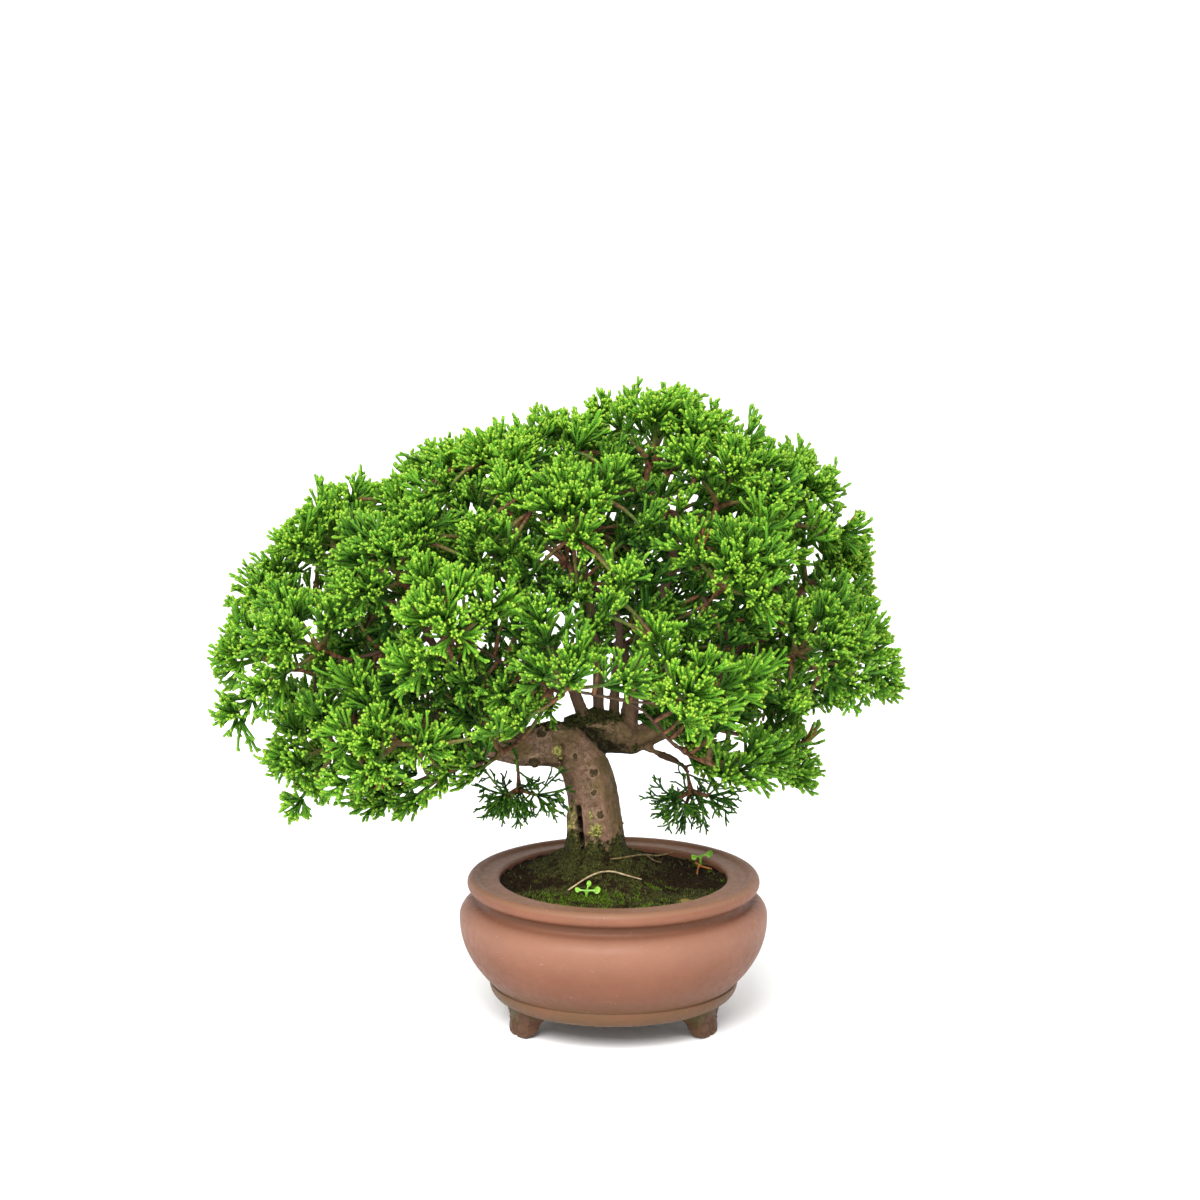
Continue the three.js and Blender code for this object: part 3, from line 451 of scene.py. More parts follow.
class Nodes:
    """A node tree that is put together node by node."""

    def plug(self, value, socket):
        """Links another node's socket to this one, or sets this one to a plain value."""
        if isinstance(value, bpy.types.NodeSocket):
            self.tree.links.new(value, socket)
        else:
            socket.default_value = value

    def add(self, kind, inputs=(), **settings):
        node = self.tree.nodes.new(kind)
        for key, value in settings.items():
            setattr(node, key, value)
        for socket, value in dict(inputs).items():
            self.plug(value, node.inputs[socket])
        return node


class Finish(Nodes):
    """A material, put together from coats of colour and fine relief."""

    def __init__(self, name, colour, roughness, specular):
        self.material = bpy.data.materials.new(name)
        self.material.use_nodes = True
        self.tree = self.material.node_tree
        self.shader = self.tree.nodes["Principled BSDF"]
        self.shader.inputs["Roughness"].default_value = roughness
        self.shader.inputs["Specular IOR Level"].default_value = specular
        self.place = self.add("ShaderNodeTexCoord").outputs["Object"]
        self.paint = colour

    def attribute(self, name, output="Fac"):
        return self.add("ShaderNodeAttribute", attribute_name=name).outputs[output]

    def grain(self, scale, detail=3, rough=0.55, where=None):
        return self.add("ShaderNodeTexNoise", {
            "Vector": where or self.place, "Scale": scale, "Detail": detail, "Roughness": rough,
        }).outputs["Fac"]

    def cells(self, scale):
        return self.add("ShaderNodeTexVoronoi", {"Vector": self.place, "Scale": scale}).outputs["Distance"]

    def span(self, value, low, high, to_low=0.0, to_high=1.0):
        return self.add("ShaderNodeMapRange", {
            "Value": value, "From Min": low, "From Max": high, "To Min": to_low, "To Max": to_high,
        }, interpolation_type="SMOOTHSTEP").outputs["Result"]

    def patches(self, scale, detail, low, high, to_low=0.0, to_high=1.0, rough=0.55, where=None):
        """Uneven patches: grain between two of its levels."""
        return self.span(self.grain(scale, detail, rough, where), low, high, to_low, to_high)

    def ragged(self, mask, scale, spread, rough=0.65):
        """A mask whose soft edge is broken up by grain."""
        return self.maths("ADD", mask, self.patches(scale, 4, 0.3, 0.7, -spread, spread, rough))

    def maths(self, operation, a, b=0.0):
        return self.add("ShaderNodeMath", {0: a, 1: b}, operation=operation).outputs[0]

    def both(self, a, b):
        return self.maths("MULTIPLY", a, b)

    def blend(self, factor, a, b):
        """Colour a where the factor is 0, and colour b where it is 1."""
        factor_in, a_in, b_in, colour_out = 0, 6, 7, 2
        colours = {}
        for socket, colour in ((a_in, a), (b_in, b)):
            colours[socket] = colour if isinstance(colour, bpy.types.NodeSocket) else (*colour, 1)
        node = self.add("ShaderNodeMix", data_type="RGBA")
        for socket, value in {factor_in: factor, **colours}.items():
            self.plug(value, node.inputs[socket])
        return node.outputs[colour_out]

    def coat(self, mask, colour, strength=1):
        """Lays a coat of colour over the ones before, where the mask is up."""
        if strength != 1:
            mask = self.both(mask, strength)
        self.paint = self.blend(mask, self.paint, colour)
        self.plug(self.paint, self.shader.inputs["Base Color"])

    def bump(self, height, distance, strength):
        node = self.add("ShaderNodeBump", {"Height": height, "Distance": distance, "Strength": strength})
        self.plug(node.outputs["Normal"], self.shader.inputs["Normal"])


def clay_finish(colour):
    """Bare brown-pink clay: mottled, specked with pale grog, darker towards the foot, with painted shade in
    the neck, at the belt crease and on the lower belly, and a painted sheen on the upper belly.
    """
    clay = Finish("unglazed clay", colour, roughness=0.52, specular=0.2)
    z = clay.add("ShaderNodeSeparateXYZ", {0: clay.place}).outputs["Z"]

    def by_height(start, end):
        return clay.span(z, start * MM, end * MM)

    def band(start, full, still_full, end):
        return clay.both(by_height(start, full), by_height(end, still_full))

    clay.coat(clay.patches(38, 4, 0.35, 0.68), tinted(colour, 0.88))
    clay.coat(clay.patches(210, 5, 0.5, 0.75, 0, 0.35, 0.7), tinted(colour, 1.25, 1.35, 1.45))
    # Painted shade: the lower belly darker, in broad patches
    lower_belly_shade = clay.both(by_height(58, 26), clay.patches(14, 3, 0.2, 0.8, 0.7, 1))
    clay.coat(lower_belly_shade, tinted(colour, 0.62, 0.55, 0.5), 0.6)
    # Painted sheen: a paler, greyer band on the upper belly
    clay.coat(band(*PAINTED_SHEEN_BAND), tinted(colour, 1.4, 1.75, 2.1), 0.4)
    clay.coat(by_height(71.2, 72.7), tinted(colour, 1.05, 1.3, 1.35), 0.85)
    # Darker towards the bottom: in patches low on the belly and the band, and all round at the foot
    clay.coat(clay.both(by_height(34, 17), clay.patches(60, 5, 0.25, 0.65, 0.35, 1)), LOW_CLAY, 0.8)
    clay.coat(by_height(15.5, 11.5), BOTTOM_CLAY, 0.75)
    # Painted shade in the neck, under the rim's overhang
    clay.coat(band(*NECK_SHADE_BAND), tinted(colour, 0.55, 0.55, 0.5), 0.8)
    # Painted shade in the crease at the belt line
    clay.coat(band(*CREASE_SHADE_BAND), CREASE_SHADE_CLAY, 0.3)
    specks = clay.both(clay.span(clay.cells(520), 0.16, 0.09), clay.patches(120, 2, 0.56, 0.66))
    clay.coat(specks, PALE_GROG, 0.6)
    dark_specks = clay.both(clay.span(clay.cells(310), 0.12, 0.07), clay.patches(90, 2, 0.6, 0.7))
    clay.coat(dark_specks, DARK_GROG, 0.5)
    algae = clay.both(by_height(18, 12), clay.patches(130, 4, 0.5, 0.6))
    clay.coat(clay.both(algae, by_height(4, 10)), ALGAE, 0.6)
    clay.plug(clay.patches(300, 3, 0.3, 0.7, 0.45, 0.6), clay.shader.inputs["Roughness"])
    clay.bump(clay.maths("ADD", clay.grain(900, 4, 0.6), clay.both(specks, 0.6)), 0.00012, 0.55)
    return clay.material


def soil_finish(earth, moss, lush):
    """Dark crumbly soil under dull moss, fresh green where that grows, and one sandy patch."""
    soil = Finish("mossy soil", earth, roughness=0.95, specular=0.05)
    crumbs = soil.grain(620, 5, 0.7)
    soil.coat(soil.span(crumbs, 0.35, 0.7), CRUMB)
    grit = soil.both(soil.span(soil.cells(420), 0.2, 0.08), soil.patches(160, 2, 0.55, 0.64))
    soil.coat(grit, GRIT, 0.6)
    tufted = soil.patches(850, 4, 0.34, 0.66, rough=0.65)
    dull = soil.blend(tufted, tinted(moss, 0.22), tinted(moss, 1.3))
    green = soil.blend(tufted, tinted(lush, 0.12), tinted(lush, 0.55))
    bits = soil.both(soil.span(soil.cells(330), 0.17, 0.07), soil.patches(110, 2, 0.5, 0.6))

    def grown(name, low, high):
        return soil.span(soil.ragged(soil.attribute(name), 260, 0.3, 0.55), low, high)

    soil.coat(grown("moss", 0.38, 0.62), dull)
    soil.coat(grown("lush", 0.4, 0.7), green)
    soil.coat(bits, LITTER, 0.7)
    soil.coat(grown("sand", 0.4, 0.7), SAND)
    soil.bump(crumbs, 0.0012, 0.9)
    return soil.material


def bark_finish(colour, knots):
    """Grey-brown juniper bark with streaks along the limb, healed cuts, lichen and moss, and painted shade in
    its hollows and on the trunk's right side.
    """
    dark, pink, pale = (tinted(colour, *shares) for shares in (
        (0.48, 0.40, 0.32), (1.12, 0.9, 0.95), (1.6, 1.6, 1.5),
    ))
    bark = Finish("juniper bark", dark, roughness=0.8, specular=0.15)
    along = bark.attribute("grain", "Vector")
    streaks = bark.grain(0.42, 5, 0.62, along)
    fibres = bark.patches(1.7, 5, 0.52, 0.36, rough=0.7, where=along)
    bark.coat(bark.span(streaks, 0.34, 0.56), colour)
    bark.coat(bark.patches(0.11, 3, 0.42, 0.62, 0, 0.8, 0.5, along), pink)
    bark.coat(bark.patches(330, 5, 0.48, 0.66, 0, 0.6, 0.7), pale)
    bark.coat(bark.patches(85, 4, 0.5, 0.66, 0, 0.7, 0.6), MOTTLE)
    patchy = bark.patches(120, 4, 0.3, 0.6, 0.3, 1)
    # Olive bark; on the trunk's right side this is also painted shade
    bark.coat(bark.both(bark.attribute("olive"), patchy), OLIVE)
    bark.coat(bark.both(bark.attribute("pale"), patchy), PALE_BARK)
    bark.coat(bark.attribute("shaggy"), SHAGGY, 0.85)
    bark.coat(fibres, dark, 0.6)
    bark.coat(bark.patches(0.9, 4, 0.44, 0.3, rough=0.6, where=along), FISSURE, 0.45)

    away = KNOT_FAR
    for centre, radius in knots:
        gap = bark.add("ShaderNodeVectorMath", {0: bark.place, 1: centre}, operation="DISTANCE")
        away = bark.maths("MINIMUM", away, bark.maths("DIVIDE", gap.outputs["Value"], radius))
    away = bark.ragged(away, 520, 0.4)
    ring = bark.both(bark.span(away, 0.34, 0.55), bark.span(away, 1.15, 0.85))
    bark.coat(bark.span(away, 1.7, 1.15, 0, 0.6), pale)
    bark.coat(bark.span(away, 1.15, 0.6), KNOT)
    bark.coat(ring, KNOT_RING, 0.6)

    flakes = bark.blend(bark.patches(900, 3, 0.4, 0.6), LICHEN_DARK, LICHEN_PALE)
    green = bark.blend(bark.patches(800, 3, 0.35, 0.65), MOSS_DARK, MOSS_PALE)
    # Painted shade: near-black in the hollows, seam, cleft, under limbs and in the shadow on the log; also a
    # dark crust and a darker log
    bark.coat(bark.span(bark.ragged(bark.attribute("shade_and_dark_bark"), 340, 0.3), 0.05, 1.0), HOLLOW_SHADE)
    bark.coat(bark.span(bark.ragged(bark.attribute("lichen"), 420, 0.45, 0.7), 0.5, 0.62), flakes)
    bark.coat(bark.span(bark.ragged(bark.attribute("moss"), 300, 0.4), 0.3, 0.75), green)
    relief = bark.maths("ADD", streaks, bark.both(bark.grain(700, 4, 0.6), 0.4))
    relief = bark.maths("SUBTRACT", relief, bark.both(fibres, 0.3))
    relief = bark.maths("SUBTRACT", relief, bark.both(ring, 0.5))
    bark.bump(relief, 0.0006, 0.85)
    return bark.material


def shoot_finish(tip, leaf, old_leaf):
    """Overlapping scale leaves: dark when old, yellow-green at the growing tip, orange-brown when dead."""
    green = Finish("scale-leaf shoots", old_leaf, roughness=0.55, specular=0.12)
    along, long, fresh = (green.attribute(name) for name in ("along", "long", "fresh"))
    youth = green.maths("ADD", green.attribute("youth"), green.both(green.both(along, fresh), 0.6))
    to_tip = green.both(green.maths("SUBTRACT", 1.0, along), long)
    scales = green.maths("SINE", green.both(green.both(along, long), 2 * math.pi / SCALE_STEP))
    green.coat(green.span(youth, 0.0, 0.95), leaf)
    green.coat(green.span(green.attribute("shade"), 0.5, 1.0, 0, 0.45), tinted(leaf, 1.45, 1.15, 1.2))
    green.coat(green.both(green.span(to_tip, 1.5, 0.0), fresh), tip)
    # Painted shade between the scale leaves
    green.coat(green.span(scales, -0.2, -0.95, 0, 0.3), tinted(old_leaf, 0.5))
    green.coat(green.attribute("dead"), DEAD_LEAF)
    green.bump(scales, 0.0001, 0.6)
    return green.material


def stem_finish(leaf, old_leaf):
    """Leafy stems that turn from orange-brown bark near the wood to green further out."""
    stem = Finish("leafy stems", STEM_DARK, roughness=0.7, specular=0.25)
    green = stem.blend(stem.patches(700, 3, 0.35, 0.65), old_leaf, tinted(leaf, 0.55))
    stem.coat(stem.patches(500, 4, 0.35, 0.65, rough=0.65), STEM_PALE)
    stem.coat(stem.attribute("youth"), green)
    stem.bump(stem.grain(1100, 4, 0.6), 0.0003, 0.8)
    return stem.material


def moss_finish(moss, lush):
    leaves = Finish("moss leaves", tinted(moss, 0.4), roughness=0.7, specular=0.25)
    shade = leaves.attribute("shade")
    green = leaves.blend(shade, tinted(lush, 0.3), lush)
    leaves.coat(shade, tinted(moss, 2.1))
    leaves.coat(leaves.span(leaves.attribute("lush"), 0.15, 0.5), green)
    leaves.bump(leaves.grain(1500, 3), 0.0001, 0.5)
    return leaves.material


def twig_finish(name, dark, pale):
    twig = Finish(name, dark, roughness=0.8, specular=0.25)
    streaks = twig.grain(420, 4, 0.6)
    twig.coat(twig.span(streaks, 0.35, 0.65), pale)
    twig.bump(streaks, 0.0002, 0.7)
    return twig.material


def seedling_finish():
    leaf = Finish("seedling leaves", SEEDLING_DARK, roughness=0.42, specular=0.4)
    veins = leaf.grain(600, 3, 0.5)
    leaf.coat(leaf.span(veins, 0.35, 0.65), SEEDLING_PALE)
    leaf.bump(veins, 0.0001, 0.5)
    return leaf.material


def plastic_finish():
    plastic = Finish("black mesh plastic", PLASTIC, roughness=0.5, specular=0.4)
    dust = plastic.grain(400, 3)
    plastic.coat(plastic.span(dust, 0.4, 0.7), PLASTIC_DUST)
    plastic.bump(dust, 0.0001, 0.3)
    return plastic.material


def paper_finish(colour):
    paper = Finish("white paper", tinted(colour, 0.99), roughness=0.9, specular=0.1)
    paper.coat(paper.patches(3, 2, 0, 1), colour)
    return paper.material


class Growth(Nodes):
    """A Geometry Nodes tree that sets small things on a mesh, all in one finish."""

    def __init__(self, name, **sockets):
        self.tree = bpy.data.node_groups.new(name, "GeometryNodeTree")
        for socket, kind in {"Geometry": "Geometry", **sockets, "Finish": "Material"}.items():
            self.tree.interface.new_socket(socket, in_out="INPUT", socket_type="NodeSocket" + kind)
        self.tree.interface.new_socket("Geometry", in_out="OUTPUT", socket_type="NodeSocketGeometry")
        self.given = self.add("NodeGroupInput").outputs

    def named(self, name, kind="FLOAT_VECTOR"):
        node = self.add("GeometryNodeInputNamedAttribute", {"Name": name}, data_type=kind)
        return node.outputs["Attribute"]

    def end(self, geometry):
        """Makes the instances real, gives them their finish, and closes the tree."""
        real = self.add("GeometryNodeRealizeInstances", {"Geometry": geometry})
        painted = self.add("GeometryNodeSetMaterial", {
            "Geometry": real.outputs["Geometry"], "Material": self.given["Finish"],
        })
        self.add("NodeGroupOutput", {"Geometry": painted.outputs["Geometry"]})
        return self.tree


def grow(obj, tree, **inputs):
    """Runs a node tree on an object and keeps what it makes as a plain mesh."""
    modifier = obj.modifiers.new("grow", "NODES")
    modifier.node_group = tree
    sockets = {item.name: item.identifier for item in tree.interface.items_tree if item.in_out == "INPUT"}
    for name, value in inputs.items():
        modifier[sockets[name]] = value
    return baked(obj)


def arc(centre, radii, start, end, count):
    turns = np.radians(np.linspace(start, end, count))
    return [(centre[0] + radii[0] * math.cos(t), centre[1] + radii[1] * math.sin(t)) for t in turns]


def pot_profile():
    """The pot's section, from the drain hole out, up over the rim and down inside."""
    belt = arc((BASE_R, BELT_Z), (BELT_R - BASE_R, BELT_Z - BASE_Z), -90, 0, 11)
    ledge = arc((BELT_R - BELT_EDGE, BELT_Z), (BELT_EDGE, BELT_EDGE), 20, 90, 4)
    flank = []
    for drop in np.linspace(1, 0, 20)[:-1]:
        fall, height = BELLY_R - BELT_R + BELT_LEDGE, BELLY_Z - BELT_Z - BELT_LEDGE
        flank.append((BELLY_R - fall * drop ** FLANK_POWER, BELLY_Z - height * drop))
    shoulder = arc((NECK_R, BELLY_Z), (BELLY_R - NECK_R, SHOULDER_Z - BELLY_Z), 0, 90, 13)
    bead = arc(BEAD_AT, (BEAD_R, BEAD_R), -75, 118, 15)
    lip = arc((MOUTH_R + LIP_R, RIM_Z - LIP_R), (LIP_R, LIP_R), 75, 180, 8)
    floor = [(FLOOR_R, FLOOR_Z), (DRAIN_R, FLOOR_Z), (DRAIN_R, BASE_Z)]
    return [*belt, *ledge, *flank, *shoulder[:-1], *NECK, *bead, *RIM_FLAT, *lip, *INNER_WALL, *floor]


def turned(name, profile, segments, material, closed):
    """A profile turned round the pot's axis."""
    count = len(profile)
    points = []
    for i in range(segments):
        turn = 2 * math.pi * i / segments
        points += [(r * math.sin(turn), -r * math.cos(turn), z) for r, z in profile]
    faces = []
    for i in range(segments):
        for j in range(count if closed else count - 1):
            here, there = i * count, ((i + 1) % segments) * count
            k = (j + 1) % count
            faces.append((here + j, there + j, there + k, here + k))
    return build(name, world(points), faces, material)


def foot_outline():
    """One foot's face, with the corners between its lobes rounded."""
    half = [Vector((s, z)) for s, z in FOOT_HALF]
    ring = half + [Vector((-p.x, p.y)) for p in reversed(half)]
    for _ in range(3):
        cut = []
        for a, b in zip(ring, ring[1:] + ring[:1]):
            cut += [a.lerp(b, 0.25), a.lerp(b, 0.75)]
        ring = cut
    return ring


def foot_grooves(across, out, up):
    """How deep a foot's face is cut, with its cleft, its swirls and its rounding to the sides."""
    groove = CLEFT_DEEP * hump(across, 0, CLEFT_HALF) * ramp(up, CLEFT_TOP, CLEFT_TOP - 3)
    for side in (-1, 1):
        for (aside, height), radius, half, depth in SWIRLS:
            swirl = np.hypot(across - side * aside, up - height)
            groove += depth * hump(swirl, radius, half) * ramp(up, 0, 2)
    return ramp(out, 2.5 - FOOT_OUT, 0.5 - FOOT_OUT) * (groove + FOOT_CURVE * across ** 2)


def foot(turn, material):
    """One cloud foot, turned so many degrees round the pot's axis."""
    ring = foot_outline()
    front, back = -FOOT_OUT, -FOOT_OUT + FOOT_DEEP
    points = [(p.x, front, p.y) for p in ring] + [(p.x, back, p.y) for p in ring]
    count = len(ring)
    faces = [tuple(range(count)), tuple(range(2 * count - 1, count - 1, -1))]
    faces += [(i, i + count, (i + 1) % count + count, (i + 1) % count) for i in range(count)]
    obj = build("foot", world(points), faces, material)
    face_out(obj.data)
    even_mesh(obj, FOOT_CELL * MM, passes=7, factor=0.6)
    x, y, z = local(coords_of(obj.data)).T
    depth = TREAD_DEEP + (FOOT_DEEP - TREAD_DEEP) * np.clip(z / FOOT_SHOULDER, 0, 1)
    y = front + (y - front) * depth / FOOT_DEEP
    y = y + foot_grooves(x, y, z)
    z = np.maximum(z - z.min(), 0) * FOOT_TALL / np.ptp(z)
    angle = math.radians(turn)
    across = x * math.cos(angle) - y * math.sin(angle)
    out = x * math.sin(angle) + y * math.cos(angle)
    set_coords(obj.data, world(np.stack([across, out, z], axis=1)))
    dress(obj, material)
    return obj


class BONSAI_OT_pot(bpy.types.Operator):
    """Turns the clay pot and sets its three cloud feet under it"""
    bl_idname = "bonsai.pot"
    bl_label = "Pot"

    def execute(self, context):
        wanted = context.scene.bonsai_pot
        clay = clay_finish(wanted.clay)
        bowl = turned("bowl", pot_profile(), wanted.segments, clay, closed=True)
        place = local(coords_of(bowl.data))
        radius = np.hypot(place[:, 0], place[:, 1])
        stray = np.array([noise.noise(Vector(p) * 0.035) for p in place]) * wanted.wobble
        scale = 1 + stray / np.maximum(radius, 20)
        widest = radius > BELLY_R - 0.5
        scale[widest] = np.minimum(scale[widest], 1)
        place[:, :2] *= scale[:, None]
        set_coords(bowl.data, world(place))
        face_out(bowl.data)
        pot = join("clay_pot", [bowl, *(foot(turn, clay) for turn in FOOT_TURNS)])
        finish_piece(pot, "clay", "pot")
        dress(frame["nodes"]["drain_screen"], plastic_finish())
        return {"FINISHED"}


def soil_top(x, y):
    """Height of the soil, with the mound of roots and moss round the trunk."""
    away = np.hypot(x - MOUND_AT[0], (y - MOUND_AT[1]) * 0.9)
    bumps = 0.7 * np.sin(0.31 * x + 0.9) * np.cos(0.27 * y) + 0.5 * np.sin(0.55 * y + 0.4 * x)
    return SOIL_Z + MOUND_Z * hump(away, 0, MOUND_SPREAD, 2.4) + bumps


def noise_at(x, y, scale, shift):
    return np.array([noise.noise(Vector((a * scale, b * scale, shift))) for a, b in zip(x, y)])


def moss_at(x, y):
    """How mossy a place on the soil is, from 0 to 1: bare at the far left and the far right."""
    mound = hump(np.hypot(x - MOUND_AT[0], y - MOUND_AT[1]), 0, 34, 4) * 0.9
    front = ramp(y, -12, -26) * 0.75
    return np.clip(np.maximum(mound, front) + 0.75 * noise_at(x, y, 0.09, 3.1), 0, 1)


def lush_at(x, y):
    """Where fresh moss grows, from 0 to 1: in clumps at the front, and a little elsewhere."""
    front = ramp(y, -24, -33) * ramp(x, -50, -38) * np.maximum(ramp(x, 30, 10), 0.25)
    right = hump(x, 22, 7) * hump(y, -18, 9) * 0.8
    edge = ramp(np.hypot(x, y), 44, 52) * (x > 12) * 0.35
    clumps = 0.35 + 2.3 * noise_at(x, y, 0.19, 7.7)
    return np.clip((np.maximum(np.maximum(front, right), edge) + 0.16) * clumps, 0, 1)


def crumbs(x, y, z):
    """Relief of crumbs and bits of bark on the soil."""
    soft, sharp, apart = 0.55, 1.15, 9
    return np.array([
        0.55 * noise.noise(Vector((a * soft, b * soft, c * soft)))
        + 0.5 * abs(noise.noise(Vector((a * sharp, b * sharp, c * sharp + apart))))
        for a, b, c in zip(x, y, z)
    ])


class BONSAI_OT_soil(bpy.types.Operator):
    """Fills the pot with crumbly soil that rises to a mossy mound round the trunk"""
    bl_idname = "bonsai.soil"
    bl_label = "Soil"

    def execute(self, context):
        wanted = context.scene.bonsai_soil
        seat = FLOOR_Z + SOIL_SEAT
        below = [(0, seat), (FLOOR_R - SOIL_SEAT, seat), *SOIL_UNDER]
        rings = [(r, SOIL_Z) for r in np.linspace(SOIL_R, 0, 68)]
        finish = soil_finish(wanted.earth, wanted.moss, wanted.lush)
        soil = turned("soil_with_moss", below + rings, 190, finish, closed=False)
        face_out(soil.data)
        place = local(coords_of(soil.data))
        top = np.abs(place[:, 2] - SOIL_Z) < 1e-3
        x, y = place[top, 0], place[top, 1]
        out = np.hypot(x, y)
        height = soil_top(x, y)
        place[top, 2] = height + crumbs(x, y, height) * (0.4 + ramp(out, SOIL_R, SOIL_R - 4)) - 0.45
        set_coords(soil.data, world(place))
        moss, lush = moss_at(x, y), lush_at(x, y)
        marks = {
            "moss": moss,
            "lush": lush,
            "sand": hump(x, 37, 5) * hump(y, -36, 4),
            "grass": hump(x, -34, 9, 4) * hump(out, 49, 3.5) * (y < -20),
            "tuft": np.clip(0.055 * moss + 0.34 * lush ** 1.5, 0, 1),
        }
        for name, values in marks.items():
            whole = np.zeros(len(place))
            whole[top] = values
            store(soil.data, name, whole)
        finish_piece(soil, "soil", "soil")
        return {"FINISHED"}


def stretches(stations):
    """A limb's straight stretches: start, way to the next station, and the radius at both ends."""
    for (ax, ay, az, ar), (bx, by, bz, br) in zip(stations, stations[1:]):
        yield np.array([ax, ay, az]), np.array([bx - ax, by - ay, bz - az]), ar, br


def off_axis(place, start, line):
    """How far along a stretch each point lies, as a share, and where it is from the axis there."""
    share = np.clip((place - start) @ line / (line @ line), 0, 1)
    return share, place - start - share[:, None] * line


def nearest_on_limbs(place):
    """For each point: how far along and round its limb it lies, and the limb's radius there, in mm."""
    best = np.full(len(place), np.inf)
    grain = place * 0.5
    thickness = np.full(len(place), TWIG_R)
    for stations in LIMBS.values():
        run = 0.0
        for start, line, first, last in stretches(stations):
            length = np.linalg.norm(line)
            share, offset = off_axis(place, start, line)
            distance = np.linalg.norm(offset, axis=1)
            radius = first + (last - first) * share
            depth = np.abs(distance - radius) / np.sqrt(radius)
            nearer = (depth < best) & (distance < radius * 1.5 + 1.5)
            best[nearer] = depth[nearer]
            step = 0.17 * (run + share * length)
            grain[nearer] = offset[nearer] + line / length * step[nearer][:, None]
            thickness[nearer] = radius[nearer]
            run += length
    return grain, thickness


def beyond(place, stations):
    """How far points lie outside a limb's round skin, in mm."""
    best = np.full(len(place), np.inf)
    for start, line, first, last in stretches(stations):
        share, offset = off_axis(place, start, line)
        best = np.minimum(best, np.linalg.norm(offset, axis=1) - first - (last - first) * share)
    return best


def spot(place, centre, reach):
    """A soft-edged spot on the wood: 1 in its middle, 0 outside."""
    return hump(np.linalg.norm((place - centre) / reach, axis=1), 0, 1, 4)


def hollows(place, facing_down, thickness, shadow, on_log):
    """Painted shade where the wood is dark: at the log's seam, in the shadow on the log, in the cleft and
    under limbs; with a dark crust and the log a little darker.
    """
    x, y, z = place.T
    touching = np.abs(beyond(place, LIMBS["trunk"])) + np.abs(beyond(place, LIMBS["log"]))
    seam = hump(touching, 0, 2.4) * (z > BEND_Z + 2)
    cleft = hump(x + 0.105 * (z - 92), -15.2, 1, 4) * ramp(z, 111, 108) * (y < 4) * (z > 80)
    under = np.clip(facing_down * 1.4 - 0.3, 0, 1) * (thickness > 4)
    crust = spot(place, *BARK_CRUST)
    return np.clip(seam + 0.6 * crust + 0.85 * shadow + 0.15 * on_log + 0.95 * cleft + 0.5 * under, 0, 1)


def wood_marks(place, normals, thickness):
    """Where the wood is mossy, darkened by painted shade, crusted with lichen, olive (with painted shade on
    the trunk's right side) or pale, each from 0 to 1.
    """
    x, _, z = place.T
    facing_up = normals[:, 2]
    off_trunk, off_log = beyond(place, LIMBS["trunk"]), beyond(place, LIMBS["log"])
    on_log = (off_log < off_trunk) & (thickness > THICK)
    shadow = hump(np.maximum(off_trunk, 0), 0, 8) * on_log * (z < 146) * (x > -14)
    pillar = spot(place, *PILLAR_FACE)

    foot_moss = ramp(z - 2.5 * np.sin(0.5 * x), 98, 87) * 0.95
    log_moss = ramp(z, 147, 150.5) * on_log * 0.6
    top_moss = ramp(z, 143.5, 148.5) * np.clip(facing_up, 0, 1) * (thickness > THICK) * 0.75
    moss = foot_moss + log_moss + top_moss + pillar * 0.5 + shadow * 0.45 + 0.5 * spot(place, *MOSS_POCKET)

    lichen = sum(strength * spot(place, centre, reach) for centre, reach, strength in LICHEN)
    lichen = lichen + 0.72 * pillar * (x < -17.8)

    # The olive tint on the trunk's right side is also painted shade on that side
    shaded_right_side = ramp(x + 0.25 * (z - 105), -6.5, -1.5) * (z < 133) * ~on_log
    bend = 0.7 * ramp(x, -34, -26) * ramp(x, -14, -20) * (z > BEND_Z)
    olive = np.maximum(np.maximum(shaded_right_side, bend), on_log)
    return {
        "moss": np.clip(moss, 0, 1),
        "shade_and_dark_bark": hollows(place, -facing_up, thickness, shadow, on_log),
        "lichen": np.clip(lichen, 0, 1),
        "olive": 0.8 * olive,
        "pale": hump(z, 145, 3, 4) * on_log * ramp(x, 12, 7),
        "shaggy": ramp(thickness, 6.2, 3.2) * (z > BEND_Z),
    }


def bark_relief(grain):
    """Ridges and furrows that run along the limb, one high."""
    ridge = 0.75 * noise.noise(grain * 0.42) + 0.45 * noise.noise(grain * 1.05 + Vector((7, 0, 0)))
    furrow = abs(noise.noise(grain * 0.3 + Vector((0, 5, 0))))
    return ridge - 0.5 * max(0.0, 0.35 - 4 * furrow)


def knots_on(place):
    """Each healed cut's centre on the wood's front, and its radius."""
    for x, z, radius in KNOTS:
        near = np.hypot(place[:, 0] - x, place[:, 2] - z) < 1.2
        yield np.array([x, place[near][:, 1].min(), z]), radius


def thin_twigs(wood, thickness, share):
    """Gives the twigs fewer faces than the limbs."""
    fine = wood.vertex_groups.new(name="fine")
    for index in np.flatnonzero(thickness < 4):
        fine.add([int(index)], 1.0, "REPLACE")
    thinned = wood.modifiers.new("thinned", "DECIMATE")
    thinned.ratio = share
    thinned.vertex_group = "fine"
    baked(wood)


